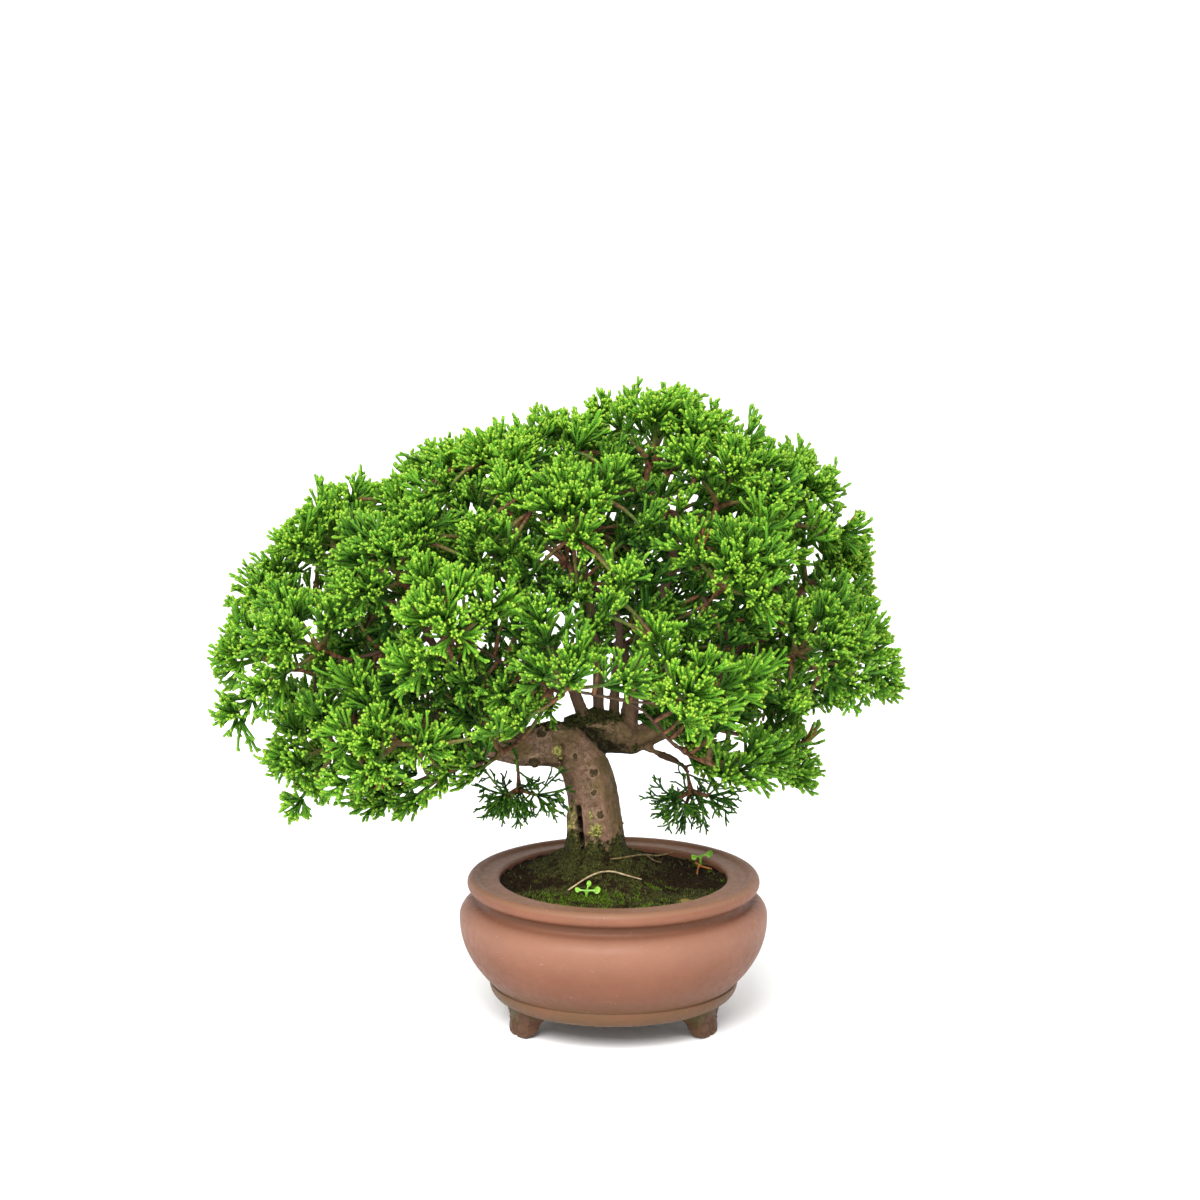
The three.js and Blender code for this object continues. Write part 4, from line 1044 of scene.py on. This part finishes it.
class BONSAI_OT_wood(bpy.types.Operator):
    """Gives the trunk, limbs and twigs their bark, knots, lichen and moss"""
    bl_idname = "bonsai.wood"
    bl_label = "Wood"

    def execute(self, context):
        wanted = context.scene.bonsai_wood
        wood = node_copy("trunk_and_branches", "bark_and_twigs")
        place = local(coords_of(wood.data))
        swell = 0.5 * ramp(nearest_on_limbs(place)[1], 2.6, 1.4)
        set_coords(wood.data, world(place + normals_of(wood.data) * swell[:, None]))
        even_mesh(wood, wanted.cell, passes=4, factor=0.5)
        mesh = wood.data
        place, normals = local(coords_of(mesh)), normals_of(mesh)
        grain, thickness = nearest_on_limbs(place)
        relief = np.array([bark_relief(Vector(g)) for g in grain]) * wanted.grain
        relief *= np.clip(thickness / 9, 0.12, 1)
        knots = []
        for centre, radius in knots_on(place):
            away = np.linalg.norm(place - centre, axis=1) / radius
            relief += radius * (0.16 * hump(away, 0.95, 0.35) - 0.2 * hump(away, 0, 0.5))
            knots.append((tuple(world([centre])[0]), radius * MM))
        marks = wood_marks(place, normals, thickness)
        rough = np.array([noise.noise(Vector(p) * 0.8) for p in place])
        relief += np.clip(marks["moss"] - 0.35, 0, 1) * (0.4 + 0.9 * rough) + marks["shaggy"] * 0.16 * rough
        relief -= 0.9 * marks["shade_and_dark_bark"] * (thickness > THICK)
        set_coords(mesh, world(place + normals * relief[:, None]))
        for name, values in {**marks, "grain": grain}.items():
            store(mesh, name, values)
        thin_twigs(wood, thickness, wanted.share)
        dress(wood, bark_finish(wanted.bark, knots))
        wood.data.shade_smooth()
        finish_piece(wood, "bark", "trunk_and_branches")
        return {"FINISHED"}


def outline_reach(turns):
    """Distance from the crown's middle to its outline, at angles in the front view."""
    edge = CROWN_OUTLINE - CROWN_AT[[0, 2]]
    known = np.arctan2(edge[:, 1], edge[:, 0])
    order = np.argsort(known)
    return np.interp(turns, known[order], np.linalg.norm(edge, axis=1)[order], period=2 * math.pi)


def crown_share(points):
    """How near points are to the crown's outside: 0 at its middle, 1 at its skin."""
    x, y, z = (np.atleast_2d(points) - CROWN_AT).T
    return np.hypot(np.hypot(x, z) / outline_reach(np.arctan2(z, x)), y / CROWN_DEEP)


def in_open_space(points):
    """True where nothing hangs, so that the trunk and the fork of the limbs are seen."""
    x, up = points[:, 0], points[:, 2] + 0.27 * points[:, 1]
    under_crown = ((x + 10) / 54) ** 2 + ((up - 112) / 45) ** 2 < 1
    over_log = ((x + 6) / 24) ** 2 + ((up - 163) / 18) ** 2 < 1
    return under_crown | over_log


def bow_of(way):
    """The side to which each shoot bows: mostly down, so that its end turns up."""
    side = 0.8 * np.sin(37 * way[:, [1, 2, 0]]) - [0, 0, 1]
    return unit(side - way * (side * way).sum(axis=1, keepdims=True))


class Shoots:
    """Shoots to be set in place, gathered as rows: start, way, length, width and colours."""

    def __init__(self, seed):
        self.random = np.random.default_rng(seed)
        self.rows = []

    def add(self, start, way, length, width, youth, fresh, dead, leader):
        count = len(start)
        columns = [length, width, youth, fresh, self.random.random(count), dead, leader]
        spread = [np.broadcast_to(np.asarray(c, float), count)[:, None] for c in columns]
        self.rows.append(np.hstack([start, way, *spread]))

    def whorls(self, base, way, length, count, span, lean, lift):
        """Side shoots set spirally round many axes: their starts, ways, and shares of the axis."""
        rng = self.random
        shape = (len(base), count)
        share = span[0] + (span[1] - span[0]) * (np.arange(count) + rng.uniform(0.1, 0.9, shape)) / count
        turn = rng.uniform(0, 2 * math.pi, (len(base), 1)) + SPIRAL * np.arange(count)
        turn = turn + rng.normal(0, 0.25, shape)
        side = unit(np.cross(way, rng.normal(size=way.shape)))
        other = np.cross(way, side)
        out = side[:, None] * np.cos(turn)[..., None] + other[:, None] * np.sin(turn)[..., None]
        tilt = np.radians(rng.uniform(*lean, shape))[..., None]
        aim = way[:, None] * np.cos(tilt) + out * np.sin(tilt) + np.array([0, 0, lift])
        start = base[:, None] + way[:, None] * (length[:, None] * share)[..., None]
        start += bow_of(way)[:, None] * (BOW * 4 * share * (1 - share))[..., None]
        return start.reshape(-1, 3), unit(aim.reshape(-1, 3)), share.ravel()

    def laterals(self, base, way, length, count, span, outer):
        """Short blunt side shoots near the ends of many axes, the brightest at the crown's outside."""
        starts, aims, shares = self.whorls(base, way, length, count, span, BUD_LEAN, LIFT)
        lit = np.repeat(outer, count)
        reach = (2 + 7.5 * (1 - shares)) * self.random.uniform(0.75, 1.25, len(starts))
        self.add(starts, aims, reach, 0.92, lit * (0.5 + 0.4 * shares), lit * (0.3 + 0.7 * shares), 0, 0)

    def drooping(self, base, tip):
        """Thin, open, dull branchlets that hang in the shade and fork all along."""
        length = np.linalg.norm(tip - base, axis=1)
        way = unit(tip - base)
        self.add(base, way, length, 0.66, 0, 0.05, 0, 1)
        starts, aims, shares = self.whorls(base, way, length, 4, (0.15, 0.95), DROOP_LEAN, DROOP)
        reach = (9 - 5.5 * shares) * self.random.uniform(0.7, 1.25, len(starts))
        self.add(starts, aims, reach, 0.56, 0, 0.1, 0, 1)
        starts, aims, shares = self.whorls(starts, aims, reach, 2, (0.3, 0.9), DROOP_LEAN, DROOP)
        self.add(starts, aims, self.random.uniform(2, 5, len(starts)), 0.54, 0.1, 0.2, 0, 0)

    def leaders(self, base, tip, lively):
        """Long cords that fork forwards, bare but for short side shoots near their ends."""
        rng = self.random
        length = np.linalg.norm(tip - base, axis=1) * np.where(rng.random(len(base)) < 0.15, 1.3, 0.97)
        way = unit(tip - base)
        outer = ramp(crown_share(tip), 0.5, 0.92) * lively
        dead = (rng.random(len(base)) < 0.006) * 1.0
        self.add(base, way, length, 1.0, 0.3 * outer, 0.9 * outer, dead, 1)
        self.laterals(base, way, length, BUDS, (0.45, 0.97), outer)
        starts, aims, shares = self.whorls(base, way, length, FORKS, (0.05, 0.6), FORK_LEAN, LIFT)
        owner = np.repeat(np.arange(len(base)), FORKS)
        reach = length[owner] * (0.95 - 0.7 * shares) * rng.uniform(0.7, 1.15, len(starts))
        self.add(starts, aims, reach, 0.92, 0.3 * outer[owner], 0.95 * outer[owner], dead[owner], 1)
        self.laterals(starts, aims, reach, 1, (0.5, 0.9), outer[owner])


def shoot_shape(name, stations, bow):
    """A three-sided shoot, one high and one in radius, that bows a little and ends in a blunt tip."""
    points, along, faces = [], [], [(2, 1, 0)]
    for share, size in stations:
        aside = bow * 4 * share * (1 - share)
        for k in range(3):
            turn = 2 * math.pi * k / 3
            points.append((size * math.cos(turn) + aside, size * math.sin(turn), share))
            along.append(share)
    points.append((0, 0, 1))
    along.append(1)
    last = 3 * (len(stations) - 1)
    for ring in range(0, last, 3):
        for k in range(3):
            faces.append((ring + k, ring + (k + 1) % 3, ring + 3 + (k + 1) % 3, ring + 3 + k))
    faces += [(last + k, last + (k + 1) % 3, last + 3) for k in range(3)]
    mesh = bpy.data.meshes.new(name)
    mesh.from_pydata(points, [], faces)
    store(mesh, "along", along)
    mesh.shade_smooth()
    return link(bpy.data.objects.new(name, mesh))


def shoot_tree():
    """Node tree that sets a long or a short shoot on every point, turned along the point's way."""
    work = Growth("shoots on points", Long="Object", Short="Object")
    leader = work.named("leader", "FLOAT")
    short_one = work.add("FunctionNodeBooleanMath", {0: leader}, operation="NOT").outputs[0]
    bowed = work.add("FunctionNodeAlignRotationToVector", {"Vector": work.named("bow")}, axis="X")
    aimed = work.add("FunctionNodeAlignRotationToVector", {
        "Rotation": bowed.outputs["Rotation"], "Vector": work.named("way"),
    }, axis="Z")
    both = work.add("GeometryNodeJoinGeometry")
    for shape, chosen in (("Long", leader), ("Short", short_one)):
        source = work.add("GeometryNodeObjectInfo", {"Object": work.given[shape]})
        spread = work.add("GeometryNodeInstanceOnPoints", {
            "Points": work.given["Geometry"], "Selection": chosen, "Instance": source.outputs["Geometry"],
            "Rotation": aimed.outputs["Rotation"], "Scale": work.named("size"),
        })
        work.plug(spread.outputs["Instances"], both.inputs["Geometry"])
    return work.end(both.outputs["Geometry"])


class Leafing:
    """Turns rows of shoots into pieces of foliage, all with the same two shoots and finish."""

    def __init__(self, radius, finish):
        self.radius = radius
        self.finish = finish
        self.tree = shoot_tree()
        self.long = shoot_shape("long shoot", [(0, 0.9), (0.5, 1), (0.95, 0.92)], BOW / (radius / MM))
        self.short = shoot_shape("short shoot", [(0, 0.88), (0.82, 1)], 0)

    def piece(self, name, rows, *nodes):
        mesh = bpy.data.meshes.new(name)
        mesh.from_pydata([tuple(p) for p in world(rows[:, :3])], [], [])
        way, (length, width, youth, fresh, shade, dead, leader) = rows[:, 3:6], rows[:, 6:].T
        values = {
            "way": way, "bow": bow_of(way),
            "size": np.stack([width * self.radius, width * self.radius, length * MM], axis=1),
            "long": length, "youth": youth, "fresh": fresh, "shade": shade, "dead": dead, "leader": leader,
        }
        for key, column in values.items():
            store(mesh, key, column)
        obj = link(bpy.data.objects.new(name, mesh))
        grow(obj, self.tree, Long=self.long, Short=self.short, Finish=self.finish)
        finish_piece(obj, "foliage", *nodes)

    def clear(self):
        for shape in (self.long, self.short):
            bpy.data.objects.remove(shape)


def read_spray(node):
    """The shoots of a CAD spray as bases and tips in mm, and its bare stems as an object."""
    obj = node_copy(node, "stems_" + node)
    shape = bmesh.new()
    shape.from_mesh(obj.data)
    found = []
    for vertex in shape.verts:
        if len(vertex.link_faces) == 3 and len(vertex.link_edges) == 3:
            if min(edge.calc_length() for edge in vertex.link_edges) > 5 * MM:
                around = [edge.other_vert(vertex) for edge in vertex.link_edges]
                found.append((vertex, around, sum((v.co for v in around), Vector()) / 3))
    bases = np.array([base for _, _, base in found])
    tips = np.array([vertex.co for vertex, _, _ in found])
    for vertex, around, base in found:
        way = vertex.co - base
        bmesh.ops.delete(shape, geom=[vertex], context="VERTS")
        turned_out = (around[1].co - around[0].co).cross(around[2].co - around[0].co).dot(way) > 0
        loop = around if turned_out else around[::-1]
        if not shape.faces.get(loop):
            shape.faces.new(loop)
    shape.to_mesh(obj.data)
    shape.free()
    return local(bases), local(tips), obj


def places_on(mesh, rng, count, wanted=None):
    """Random places on a mesh's faces, thickest where faces are large, with their outward ways."""
    faces = [f for f in mesh.polygons if wanted is None or wanted(f)]
    area = np.array([f.area for f in faces])
    picks = rng.choice(len(faces), count, p=area / area.sum())
    mix = rng.dirichlet((1, 1, 1), count)
    corners = np.array([[mesh.vertices[v].co for v in faces[i].vertices[:3]] for i in picks])
    return local((corners * mix[..., None]).sum(axis=1)), np.array([faces[i].normal for i in picks])


def infill(shoots, start, outward, heading, lively):
    """More leaders, from bare stretches of stem and twig, turned outwards and up."""
    rng = shoots.random
    away = unit(start - CROWN_AT) * [1, 1, 0.8]
    way = unit(outward * 0.75 + heading * 0.5 + away * 0.7 + rng.normal(0, 0.28, start.shape) + [0, 0, 0.2])
    tip = start + way * rng.uniform(9, 15, (len(start), 1))
    kept = (crown_share(tip) < 1.0) & ~in_open_space(tip)
    if kept.any():
        shoots.leaders(start[kept], tip[kept], lively)


def nearest(points):
    tree = KDTree(len(points))
    for index, point in enumerate(points):
        tree.insert(point, index)
    tree.balance()
    return tree


def bare_spots(rng, taken):
    """Places in the crown's outer part, the barest first, with the room round each."""
    ways = unit(rng.normal(size=(TRIES, 3)))
    reach = outline_reach(np.arctan2(ways[:, 2], ways[:, 0]))
    skin = np.stack([reach * ways[:, 0], CROWN_DEEP * ways[:, 1], reach * ways[:, 2]], axis=1)
    spots = CROWN_AT + skin * rng.uniform(0.6, 0.93, (len(ways), 1))
    spots = spots[~in_open_space(spots)]
    leaves = nearest(taken)
    room = np.array([leaves.find(place)[2] for place in spots])
    order = np.argsort(-room)
    return spots[order], room[order]


def fill_gaps(shoots, taken, wood, least, most):
    """Branchlets from the nearest wood into the crown's bare places. Gives their stems' paths."""
    rng = shoots.random
    roots = nearest(wood)
    added = np.zeros((0, 3))
    paths, bases, tips = [], [], []
    for place, room in zip(*bare_spots(rng, taken)):
        if room < least or len(paths) >= most:
            break
        if len(added) and np.linalg.norm(added - place, axis=1).min() < least:
            continue
        out = unit(unit(place - CROWN_AT) + [0, 0, 0.35] + rng.normal(0, 0.2, 3))
        base = place - out * FAN_FOOT
        root = np.array(roots.find(base)[0])
        far = np.linalg.norm(base - root)
        if far > STEM_LONGEST:
            continue
        bend = (root + base) / 2 + (out * 0.12 + unit(root - CROWN_AT) * 0.12) * far
        shares = np.linspace(0, 1, 5)[:, None]
        paths.append((1 - shares) ** 2 * root + 2 * shares * (1 - shares) * bend + shares ** 2 * base)
        fan = base + unit(out + rng.normal(0, 0.42, (FAN, 3))) * rng.uniform(*FAN_LONG, (FAN, 1))
        bases += [base] * FAN
        tips += list(fan)
        added = np.vstack([added, fan, place[None]])
    bases, tips = np.array(bases), np.array(tips)
    kept = (crown_share(tips) < 1.0) & ~in_open_space(tips)
    vigour = np.repeat(rng.uniform(0.5, 1, len(paths)), FAN)
    shoots.leaders(bases[kept], tips[kept], vigour[kept])
    return paths


def thin_stems(name, paths, material):
    """Four-sided stems along paths, closed at both ends and thinner outwards."""
    points, faces, youth = [], [], []
    for path in paths:
        first, last = len(points), len(points) + 4 * (len(path) - 1)
        for i, (place, way) in enumerate(zip(path, unit(np.gradient(path, axis=0)))):
            side = unit(np.cross(way, (0.31, 0.52, 0.8)))
            share = i / (len(path) - 1)
            for k in range(4):
                turn = math.pi * k / 2
                corner = side * math.cos(turn) + np.cross(way, side) * math.sin(turn)
                points.append(place + corner * (STEM_R - STEM_TAPER * share))
                youth.append(max(0, share * 1.3 - 0.3))
        for ring in range(first, last, 4):
            faces += [(ring + k, ring + (k + 1) % 4, ring + 4 + (k + 1) % 4, ring + 4 + k) for k in range(4)]
        faces += [(first + 3, first + 2, first + 1, first), (last, last + 1, last + 2, last + 3)]
    obj = build(name, world(points), faces, material)
    store(obj.data, "youth", youth)
    return obj


def lengthen_foot(mesh, ring, way):
    """Carries a stem's three-sided foot back into the twig that it grows from."""
    shape = bmesh.new()
    shape.from_mesh(mesh)
    shape.verts.ensure_lookup_table()
    cap = shape.faces.get([shape.verts[int(index)] for index in ring])
    if cap:
        corners = list(cap.verts)
        tails = [shape.verts.new(v.co - Vector(way) * 3 * MM) for v in corners]
        shape.faces.remove(cap)
        for k in range(3):
            shape.faces.new((corners[k], corners[(k + 1) % 3], tails[(k + 1) % 3], tails[k]))
        shape.faces.new(tails)
    shape.to_mesh(mesh)
    shape.free()


def smooth_stems(obj, material):
    """Rounds a spray's bare stems, sets their foot in the twig, and marks how green they are."""
    place = local(coords_of(obj.data))
    fork = np.array([-15, 12, 150])
    foot_point = place[np.argmin(np.linalg.norm(place - fork, axis=1))]
    ring = np.argsort(np.linalg.norm(place - foot_point, axis=1))[:3]
    a, b, c = place[ring]
    base = place[ring].mean(axis=0)
    way = unit(np.cross(b - a, c - a))
    if way @ (place.mean(axis=0) - base) < 0:
        way = -way
    lengthen_foot(obj.data, ring, way)
    set_coords(obj.data, world(local(coords_of(obj.data)) + normals_of(obj.data) * 0.3))
    rounded(obj, 1)
    away = np.linalg.norm(local(coords_of(obj.data)) - base, axis=1)
    store(obj.data, "youth", ramp(away, 14, 36))
    dress(obj, material)
    return obj


def spray_shoots(seed, bases, tips, stem, more):
    """Shoots from a CAD spray's own, with more along its stems."""
    shoots = Shoots(seed)
    vigour = shoots.random.uniform(0.6, 1)
    shoots.leaders(bases, tips, vigour)
    start, outward = places_on(stem.data, shoots.random, more)
    infill(shoots, start, outward, unit(tips.mean(axis=0) - bases.mean(axis=0)), vigour)
    return shoots


def hanging_shoots(seed, bases, tips, stem):
    """Shoots of a spray that hangs in the shade under the crown."""
    shoots = Shoots(seed)
    shoots.drooping(bases, tips)
    start, outward = places_on(stem.data, shoots.random, DROOPS)
    way = unit(outward + shoots.random.normal(0, 0.5, start.shape) - [0, 0, 0.5])
    shoots.drooping(start, start + way * shoots.random.uniform(8, 15, (DROOPS, 1)))
    return shoots


class BONSAI_OT_foliage(bpy.types.Operator):
    """Grows scale-leaf shoots on every spray, from the places of its own CAD shoots"""
    bl_idname = "bonsai.foliage"
    bl_label = "Foliage"

    def execute(self, context):
        wanted = context.scene.bonsai_foliage
        leafing = Leafing(wanted.radius, shoot_finish(wanted.tip, wanted.leaf, wanted.old_leaf))
        stems_finish = stem_finish(wanted.leaf, wanted.old_leaf)
        stems, taken, rooted = [], [], []
        names = sorted(n for n in frame["nodes"] if n.startswith("spray_"))
        hanging = names[-2:]
        for index, node in enumerate(names):
            bases, tips, stem = read_spray(node)
            taken += [tips, (bases + tips) / 2]
            if node in hanging:
                shoots = hanging_shoots(SPRAY_SEED + index, bases, tips, stem)
            else:
                shoots = spray_shoots(SPRAY_SEED + index, bases, tips, stem, wanted.infill)
            rooted.append(places_on(stem.data, shoots.random, ROOTS_ON_SPRAY)[0])
            leafing.piece("foliage_" + node[-2:], np.vstack(shoots.rows), node)
            stems.append(smooth_stems(stem, stems_finish))

        wood = frame["nodes"]["trunk_and_branches"].data
        twigs = Shoots(TWIG_SEED)
        start, outward = places_on(wood, twigs.random, wanted.twig_infill, lambda f: (
            crown_share(local(f.center)) > 0.5 and f.center.z > 150 * MM
        ))
        infill(twigs, start, outward, np.zeros(3), 0.9)
        taken.append(start)
        rooted.append(places_on(
            wood, twigs.random, ROOTS_ON_WOOD, lambda f: crown_share(local(f.center)) > 0.3,
        )[0])
        paths = fill_gaps(twigs, np.vstack(taken), np.vstack(rooted), wanted.largest_gap / MM, wanted.fillers)
        stems.append(thin_stems("thin stems", paths, stems_finish))
        rows = np.vstack(twigs.rows)
        left = rows[:, 0] < CROWN_AT[0]
        leafing.piece("foliage_between_left", rows[left])
        leafing.piece("foliage_between_right", rows[~left])
        finish_piece(join("leafy_stems", stems), "foliage")
        leafing.clear()
        return {"FINISHED"}


def tuft_tree():
    """Node tree that scatters pointed leaves over a surface, as thickly as its tuft attribute says."""
    work = Growth("moss on soil", Density="Float", Seed="Int", Height="Float", Stoutness="Float")
    given = work.given
    tuft = work.named("tuft", "FLOAT")
    amount = work.add("ShaderNodeMath", {0: tuft, 1: given["Density"]}, operation="MULTIPLY")
    scatter = work.add("GeometryNodeDistributePointsOnFaces", {
        "Mesh": given["Geometry"], "Density": amount.outputs[0], "Seed": given["Seed"],
    }, distribute_method="RANDOM")
    blade = work.add("GeometryNodeMeshCone", {
        "Vertices": 3, "Radius Top": 0.0, "Radius Bottom": given["Stoutness"], "Depth": 1.0,
    })
    turn = work.add("FunctionNodeRandomValue", {
        0: (-0.75, -0.75, 0), 1: (0.75, 0.75, 6.28),
    }, data_type="FLOAT_VECTOR")
    size = work.add("FunctionNodeRandomValue", {2: 0.5, 3: 1.35}, data_type="FLOAT")
    shade = work.add("FunctionNodeRandomValue", data_type="FLOAT")
    scale = work.add("ShaderNodeMath", {0: size.outputs[1], 1: given["Height"]}, operation="MULTIPLY")
    spread = work.add("GeometryNodeInstanceOnPoints", {
        "Points": scatter.outputs["Points"], "Instance": blade.outputs["Mesh"],
        "Rotation": turn.outputs[0], "Scale": scale.outputs[0],
    })
    mark = work.add("GeometryNodeStoreNamedAttribute", {
        "Geometry": spread.outputs["Instances"], "Name": "shade", "Value": shade.outputs[1],
    }, data_type="FLOAT", domain="INSTANCE")
    return work.end(mark.outputs["Geometry"])


class BONSAI_OT_moss(bpy.types.Operator):
    """Scatters moss over the soil, thickest in front and on the mound, and a few blades of grass"""
    bl_idname = "bonsai.moss"
    bl_label = "Moss"

    def execute(self, context):
        wanted = context.scene.bonsai_soil
        soil = bpy.data.objects["soil_with_moss"].data
        shared = {"Seed": wanted.seed, "Finish": moss_finish(wanted.moss, wanted.lush)}
        tree = tuft_tree()
        ground = link(bpy.data.objects.new("moss", soil.copy()))
        grow(ground, tree, Density=wanted.tufts, Height=MOSS_TALL * MM, Stoutness=0.16, **shared)
        lawn = link(bpy.data.objects.new("grass", soil.copy()))
        marks = lawn.data.attributes
        grass = np.empty(len(lawn.data.vertices), np.float32)
        marks["grass"].data.foreach_get("value", grass)
        marks["tuft"].data.foreach_set("value", grass)
        marks["lush"].data.foreach_set("value", np.ones_like(grass))
        grow(lawn, tree, Density=wanted.tufts / 30, Height=GRASS_TALL * MM, Stoutness=0.055, **shared)
        finish_piece(join("moss_leaves", [ground, lawn]), "soil")
        return {"FINISHED"}


def fine_copy(node, name):
    """A rounded copy of one of the small things on the soil."""
    piece = node_copy(node, name)
    rounded(piece, 2)
    return piece


def lean_leaves(obj):
    """Leans a seedling's leaves to the front, above its stalk."""
    place = local(coords_of(obj.data))
    raised = ramp(place[:, 2] - place[:, 2].min(), 0, STALK)
    place[:, 2] += LEAF_SLOPE * (place[:, 1] - np.median(place[:, 1])) * raised
    set_coords(obj.data, world(place))


def finish_small(piece, finish, slot, node):
    dress(piece, finish)
    piece.data.shade_smooth()
    finish_piece(piece, slot, node)


class BONSAI_OT_litter(bpy.types.Operator):
    """Rounds off the dry twigs and the seedlings that lie and stand on the soil"""
    bl_idname = "bonsai.litter"
    bl_label = "Twigs and seedlings"

    def execute(self, context):
        for node, (slot, name, dark, pale) in DRY_TWIGS.items():
            twig = fine_copy(node, node.replace("fallen_", "") + "_fine")
            finish_small(twig, twig_finish(name, dark, pale), slot, node)
        green = seedling_finish()
        for node in ("seedling_front", "seedling_right"):
            seedling = fine_copy(node, "young_" + node + "_fine")
            lean_leaves(seedling)
            finish_small(seedling, green, "seedling_leaf", node)
        return {"FINISHED"}


def aimed_along(way):
    """The turn of a light that shines along a way."""
    return way.to_track_quat("-Z", "Y").to_euler()


class BONSAI_OT_stage(bpy.types.Operator):
    """Sets up the pale floor, the soft lights and the camera"""
    bl_idname = "bonsai.stage"
    bl_label = "Stage"

    def execute(self, context):
        wanted = context.scene.bonsai_stage
        corners = [(x * FLOOR_HALF, y * FLOOR_HALF, 0) for x, y in ((-1, -1), (1, -1), (1, 1), (-1, 1))]
        floor = build("floor", corners, [(0, 1, 2, 3)], paper_finish(wanted.floor), smooth=False)

        sky = bpy.data.worlds.new("studio")
        sky.use_nodes = True
        light = sky.node_tree.nodes["Background"].inputs
        light["Color"].default_value = (1, 1, 1, 1)
        light["Strength"].default_value = SKY
        context.scene.world = sky
        sun = bpy.data.lights.new("sun", "SUN")
        sun.energy = SUN
        sun.angle = math.radians(SUN_SPREAD)
        link(bpy.data.objects.new("sun", sun)).rotation_euler = aimed_along(Vector(SUN_WAY))
        for name, at, power, width in LAMPS:
            area = bpy.data.lights.new(name, "AREA")
            area.energy = power
            area.size = width
            lamp = link(bpy.data.objects.new(name, area))
            lamp.location = at
            lamp.rotation_euler = aimed_along(Vector(LAMP_AIM) - lamp.location)

        lens = bpy.data.cameras.new("camera")
        lens.sensor_width = 36
        lens.lens = wanted.lens
        lens.clip_start, lens.clip_end = 0.1, 50
        camera = link(bpy.data.objects.new("camera", lens))
        camera.location = world([CAMERA_AT])[0]
        camera.rotation_euler = (math.radians(90 - CAMERA_DOWN), 0, math.radians(CAMERA_TURN))
        context.scene.camera = camera
        context.scene.view_settings.view_transform = "Standard"
        return {"FINISHED"}


class BONSAI_PT_panel(bpy.types.Panel):
    """Lists the bonsai's pieces with their sizes and colours"""
    bl_idname = "BONSAI_PT_panel"
    bl_label = "Bonsai"
    bl_space_type = "VIEW_3D"
    bl_region_type = "UI"
    bl_category = "Bonsai"

    def draw(self, context):
        for name, operators in PANEL_ROWS:
            box = self.layout.box()
            group = getattr(context.scene, name)
            for key in type(group).__annotations__:
                box.prop(group, key)
            for operator in operators:
                box.operator(operator)


PANEL_ROWS = (
    ("bonsai_pot", ("bonsai.pot",)),
    ("bonsai_soil", ("bonsai.soil", "bonsai.moss", "bonsai.litter")),
    ("bonsai_wood", ("bonsai.wood",)),
    ("bonsai_foliage", ("bonsai.foliage",)),
    ("bonsai_stage", ("bonsai.stage",)),
)
GROUPS = {
    "bonsai_pot": PotSettings,
    "bonsai_soil": SoilSettings,
    "bonsai_wood": WoodSettings,
    "bonsai_foliage": FoliageSettings,
    "bonsai_stage": StageSettings,
}
CLASSES = (
    *GROUPS.values(), BONSAI_OT_pot, BONSAI_OT_soil, BONSAI_OT_wood, BONSAI_OT_foliage, BONSAI_OT_moss,
    BONSAI_OT_litter, BONSAI_OT_stage, BONSAI_PT_panel,
)


def register():
    for cls in CLASSES:
        bpy.utils.register_class(cls)
    for name, cls in GROUPS.items():
        setattr(bpy.types.Scene, name, PointerProperty(type=cls))


def unregister():
    for name in GROUPS:
        delattr(bpy.types.Scene, name)
    for cls in reversed(CLASSES):
        bpy.utils.unregister_class(cls)


def main():
    register()
    bpy.ops.bonsai.pot()
    bpy.ops.bonsai.soil()
    bpy.ops.bonsai.wood()
    bpy.ops.bonsai.foliage()
    bpy.ops.bonsai.moss()
    bpy.ops.bonsai.litter()
    bpy.ops.bonsai.stage()


if __name__ == "__main__":
    main()
